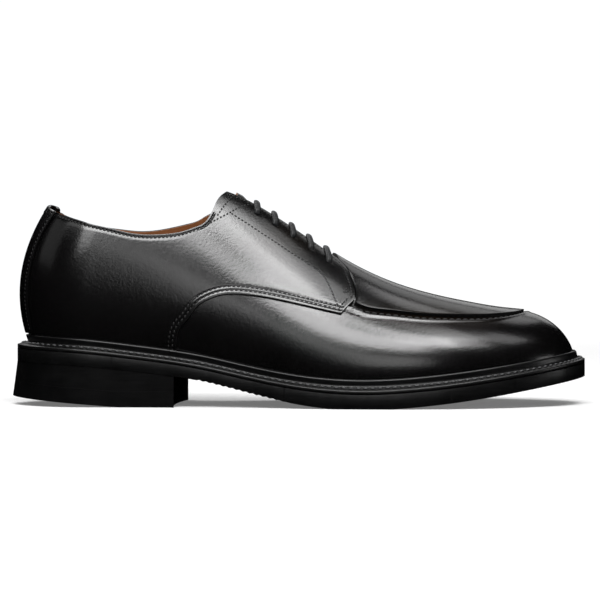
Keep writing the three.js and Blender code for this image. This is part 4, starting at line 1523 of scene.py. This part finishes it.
class DERBY_OT_lace(Piece, bpy.types.Operator):
    """Runs the lace through the eyelets in straight bars"""
    bl_idname = "derby.lace"
    bl_label = "Lace"

    def make(self, looks):
        holes = {side: eyelet_places(side) for side in (OUTER, INNER)}

        def laid_out(run, turn, side, lifts):
            place = run, turn, np.full(run.shape, side)
            return list(np.concatenate((skin(*place, lifts), last_normal(*place)), 1))

        def half(side, i):
            """Up through an eyelet and over the facing to the middle of the gap."""
            run, turn = holes[side][0][i], holes[side][1][i]
            crossing = run_along_ridge(last_point(run, 1.0, side)[0] - LACE_LEAN, side)
            edge = turn_beside_ridge(crossing, side, gap_at(crossing))
            lift = QUARTER_RAISE + LACE_THICKNESS / 2 - LACE_PRESS
            way = np.array((0, 0, 0.12, 0.45, 1))
            lifts = np.array((-QUARTER_LAP - 0.6, QUARTER_RAISE - 0.7, lift * 0.85, lift + 0.05, lift))
            return laid_out(lerp(run, crossing, way), lerp(turn, edge, way), side, lifts)

        def under(side, i):
            """Under the facing from an eyelet to the next."""
            run, turn = (np.linspace(row[i], row[i + 1], 5)[1:-1] for row in holes[side])
            return laid_out(run, turn, side, -QUARTER_LAP - 0.5)

        path = []
        side = OUTER
        for i in range(LACE_BARS):
            other = INNER if side == OUTER else OUTER
            path += half(side, i) + half(other, i)[::-1]
            if i < LACE_BARS - 1:
                path += under(other, i)
            side = other
        path = np.array(path)
        knots = metres(path[:, :3])
        travelled = travel(knots)
        steps = np.linspace(0, travelled[-1], 900)
        points = np.stack([curve(travelled, knots[:, i])(steps) for i in range(3)], 1)
        outward = unit(along_line(steps, travelled, path[:, 3:]))
        tube("lace", points, outward, LACE_WIDTH * MM, LACE_THICKNESS * MM, 16,
             finish_named("waxed lace", plaited, tuple(looks.lace_colour)),
             tuple("lace_bar_%d" % (i + 1) for i in range(LACE_BARS)))


def softbox(name, turned, raised, size, radiance):
    """A soft lamp whose face has a given radiance, and which the camera doesn't see."""
    light = bpy.data.lights.new(name, "AREA")
    light.shape = "RECTANGLE"
    light.size, light.size_y = size
    light.energy = radiance * math.pi * size[0] * size[1]
    lamp = bpy.data.objects.new(name, light)
    turned, raised = math.radians(turned), math.radians(raised)
    level = math.cos(raised)
    way = Vector((level * math.sin(turned), -level * math.cos(turned), math.sin(raised)))
    lamp.location = LAMP_AIM + way * LAMP_AWAY
    lamp.rotation_euler = (-way).to_track_quat("-Z", "Y").to_euler()
    lamp.visible_camera = False
    bpy.context.collection.objects.link(lamp)


def studio_air():
    """Air that is white to the camera and dark to the shoe, which the lamps alone light."""
    world = bpy.data.worlds.new("studio")
    world.use_nodes = True
    air = Nodes(world.node_tree)
    background = air.tree.nodes["Background"]
    seen = air.node("ShaderNodeLightPath", output="Is Camera Ray")
    air.tree.links.new((seen * AIR_WHITE).socket, background.inputs["Strength"])
    background.inputs["Color"].default_value = AIR_COLOUR
    bpy.context.scene.world = world


# Dark matt finish of the beads that paint the shade in the stitch holes
def painted_hole_shade():
    return finish_named("needle hole", inked, (0.002, 0.002, 0.002, 1))


APRON_THREAD = (0.012, 0.012, 0.013, 1)


class DERBY_OT_stitches(Piece, bpy.types.Operator):
    """Sews the quarters, the collar, the facings, the back strip and the apron"""
    bl_idname = "derby.stitches"
    bl_label = "Stitches"

    def make(self, looks):
        def sew(sewing, lines, side, lift, pitch, stitch, hole, slant=0.3):
            for line in lines:
                sewing.row(laid(*line, side, lift), pitch, stitch, np.array(hole) * MM, slant)

        # Each stitch comes with a dark matt bead that paints the shade of its hole
        fine, long = Sewing(), Sewing()
        thick = looks.stitch_thickness
        for side in (OUTER, INNER):
            sew(fine, seam_lines(side), side, QUARTER_RAISE - ROW_SINK, SEAM_PITCH * MM, (1.05 * MM, thick),
                (1.65, 1.0))
            sew(fine, quarter_lines(side), side, QUARTER_RAISE - 0.02, looks.stitch_pitch, (0.9 * MM, thick),
                (1.5, 0.95))
            rise = np.linspace(0.02, 0.97, 80)
            run, turn, _ = strip_place(rise, np.full(rise.shape, 0.5 + side * 0.5))
            sew(fine, [beside(run, turn, side, -STRIP_ROW)], side,
                QUARTER_RAISE + CLEARANCE + STRIP_THICKNESS, looks.stitch_pitch, (1.15 * MM, thick),
                (1.2, 0.7))
            run = np.linspace(run_of(0.598), 0.9999, 260)
            sew(long, [beside(run, APRON_EDGE(run), side, CHANNEL_WIDTH - 0.75)], side, 0.25 - CHANNEL_DEPTH,
                APRON_STITCH_PITCH * MM, (2.7 * MM, 0.95 * MM), (0.9, 0.8), slant=0.08)
        fine.finish("upper_stitches", "black_leather",
                    finish_named("black thread", thread, tuple(looks.thread_colour)), painted_hole_shade())
        long.finish("apron_stitches", "black_leather",
                    finish_named("apron thread", thread, APRON_THREAD), painted_hole_shade())


class DERBY_OT_stage(bpy.types.Operator):
    """Sets the pale floor, the soft lights and the camera"""
    bl_idname = "derby.stage"
    bl_label = "Stage"
    bl_options = {"REGISTER", "UNDO"}

    def execute(self, context):
        mesh = bmesh.new()
        bmesh.ops.create_circle(mesh, cap_ends=True, cap_tris=True, segments=96, radius=FLOOR_RADIUS)
        data = bpy.data.meshes.new("floor")
        mesh.to_mesh(data)
        mesh.free()
        floor = bpy.data.objects.new("floor", data)
        context.collection.objects.link(floor)
        paper = Finish("pale paper")
        distance = paper.node("ShaderNodeVectorMath", {0: paper.where()}, output="Value", operation="LENGTH")
        far = paper.ranged(distance, *FLOOR_FADE)
        data.materials.append(paper.set(
            Base_Color=paper.tint(far, FLOOR_COLOUR, BLACK),
            Roughness=1.0,
            Specular_IOR_Level=0.0,
            Emission_Color=paper.tint(far, FLOOR_GLOW, WHITE),
            Emission_Strength=AIR_WHITE,
        ))
        floor.visible_glossy = False

        studio_air()
        for lamp in LAMPS:
            softbox(*lamp)
        context.scene.view_settings.view_transform = "Standard"

        camera = bpy.data.cameras.new("camera")
        camera.lens = LENS
        camera.sensor_width = SENSOR
        camera.shift_y = CAMERA_SHIFT
        camera.clip_start = 0.05
        eye = bpy.data.objects.new("camera", camera)
        eye.location = CAMERA_PLACE
        eye.rotation_euler = (math.pi / 2, 0, 0)
        context.collection.objects.link(eye)
        context.scene.camera = eye
        return {"FINISHED"}


PIECES = (
    DERBY_OT_vamp, DERBY_OT_quarters, DERBY_OT_apron, DERBY_OT_back_strip, DERBY_OT_tongue, DERBY_OT_insole,
    DERBY_OT_welt, DERBY_OT_outsole, DERBY_OT_heel, DERBY_OT_lace, DERBY_OT_stitches,
)


class DERBY_PT_sidebar(bpy.types.Panel):
    bl_idname = "DERBY_PT_sidebar"
    bl_label = "Apron-toe derby"
    bl_space_type = "VIEW_3D"
    bl_region_type = "UI"
    bl_category = "Derby"

    def draw(self, context):
        for name in DerbyLooks.__annotations__:
            self.layout.prop(context.scene.derby, name)
        for piece in (*PIECES, DERBY_OT_stage):
            self.layout.operator(piece.bl_idname)


CLASSES = (DerbyLooks, *PIECES, DERBY_OT_stage, DERBY_PT_sidebar)


def register():
    for each in CLASSES:
        bpy.utils.register_class(each)
    bpy.types.Scene.derby = PointerProperty(type=DerbyLooks)


def unregister():
    del bpy.types.Scene.derby
    for each in reversed(CLASSES):
        bpy.utils.unregister_class(each)


def main():
    register()
    for piece in (DERBY_OT_stage, *PIECES):
        getattr(bpy.ops.derby, piece.bl_idname.split(".")[1])()


if __name__ == "__main__":
    main()
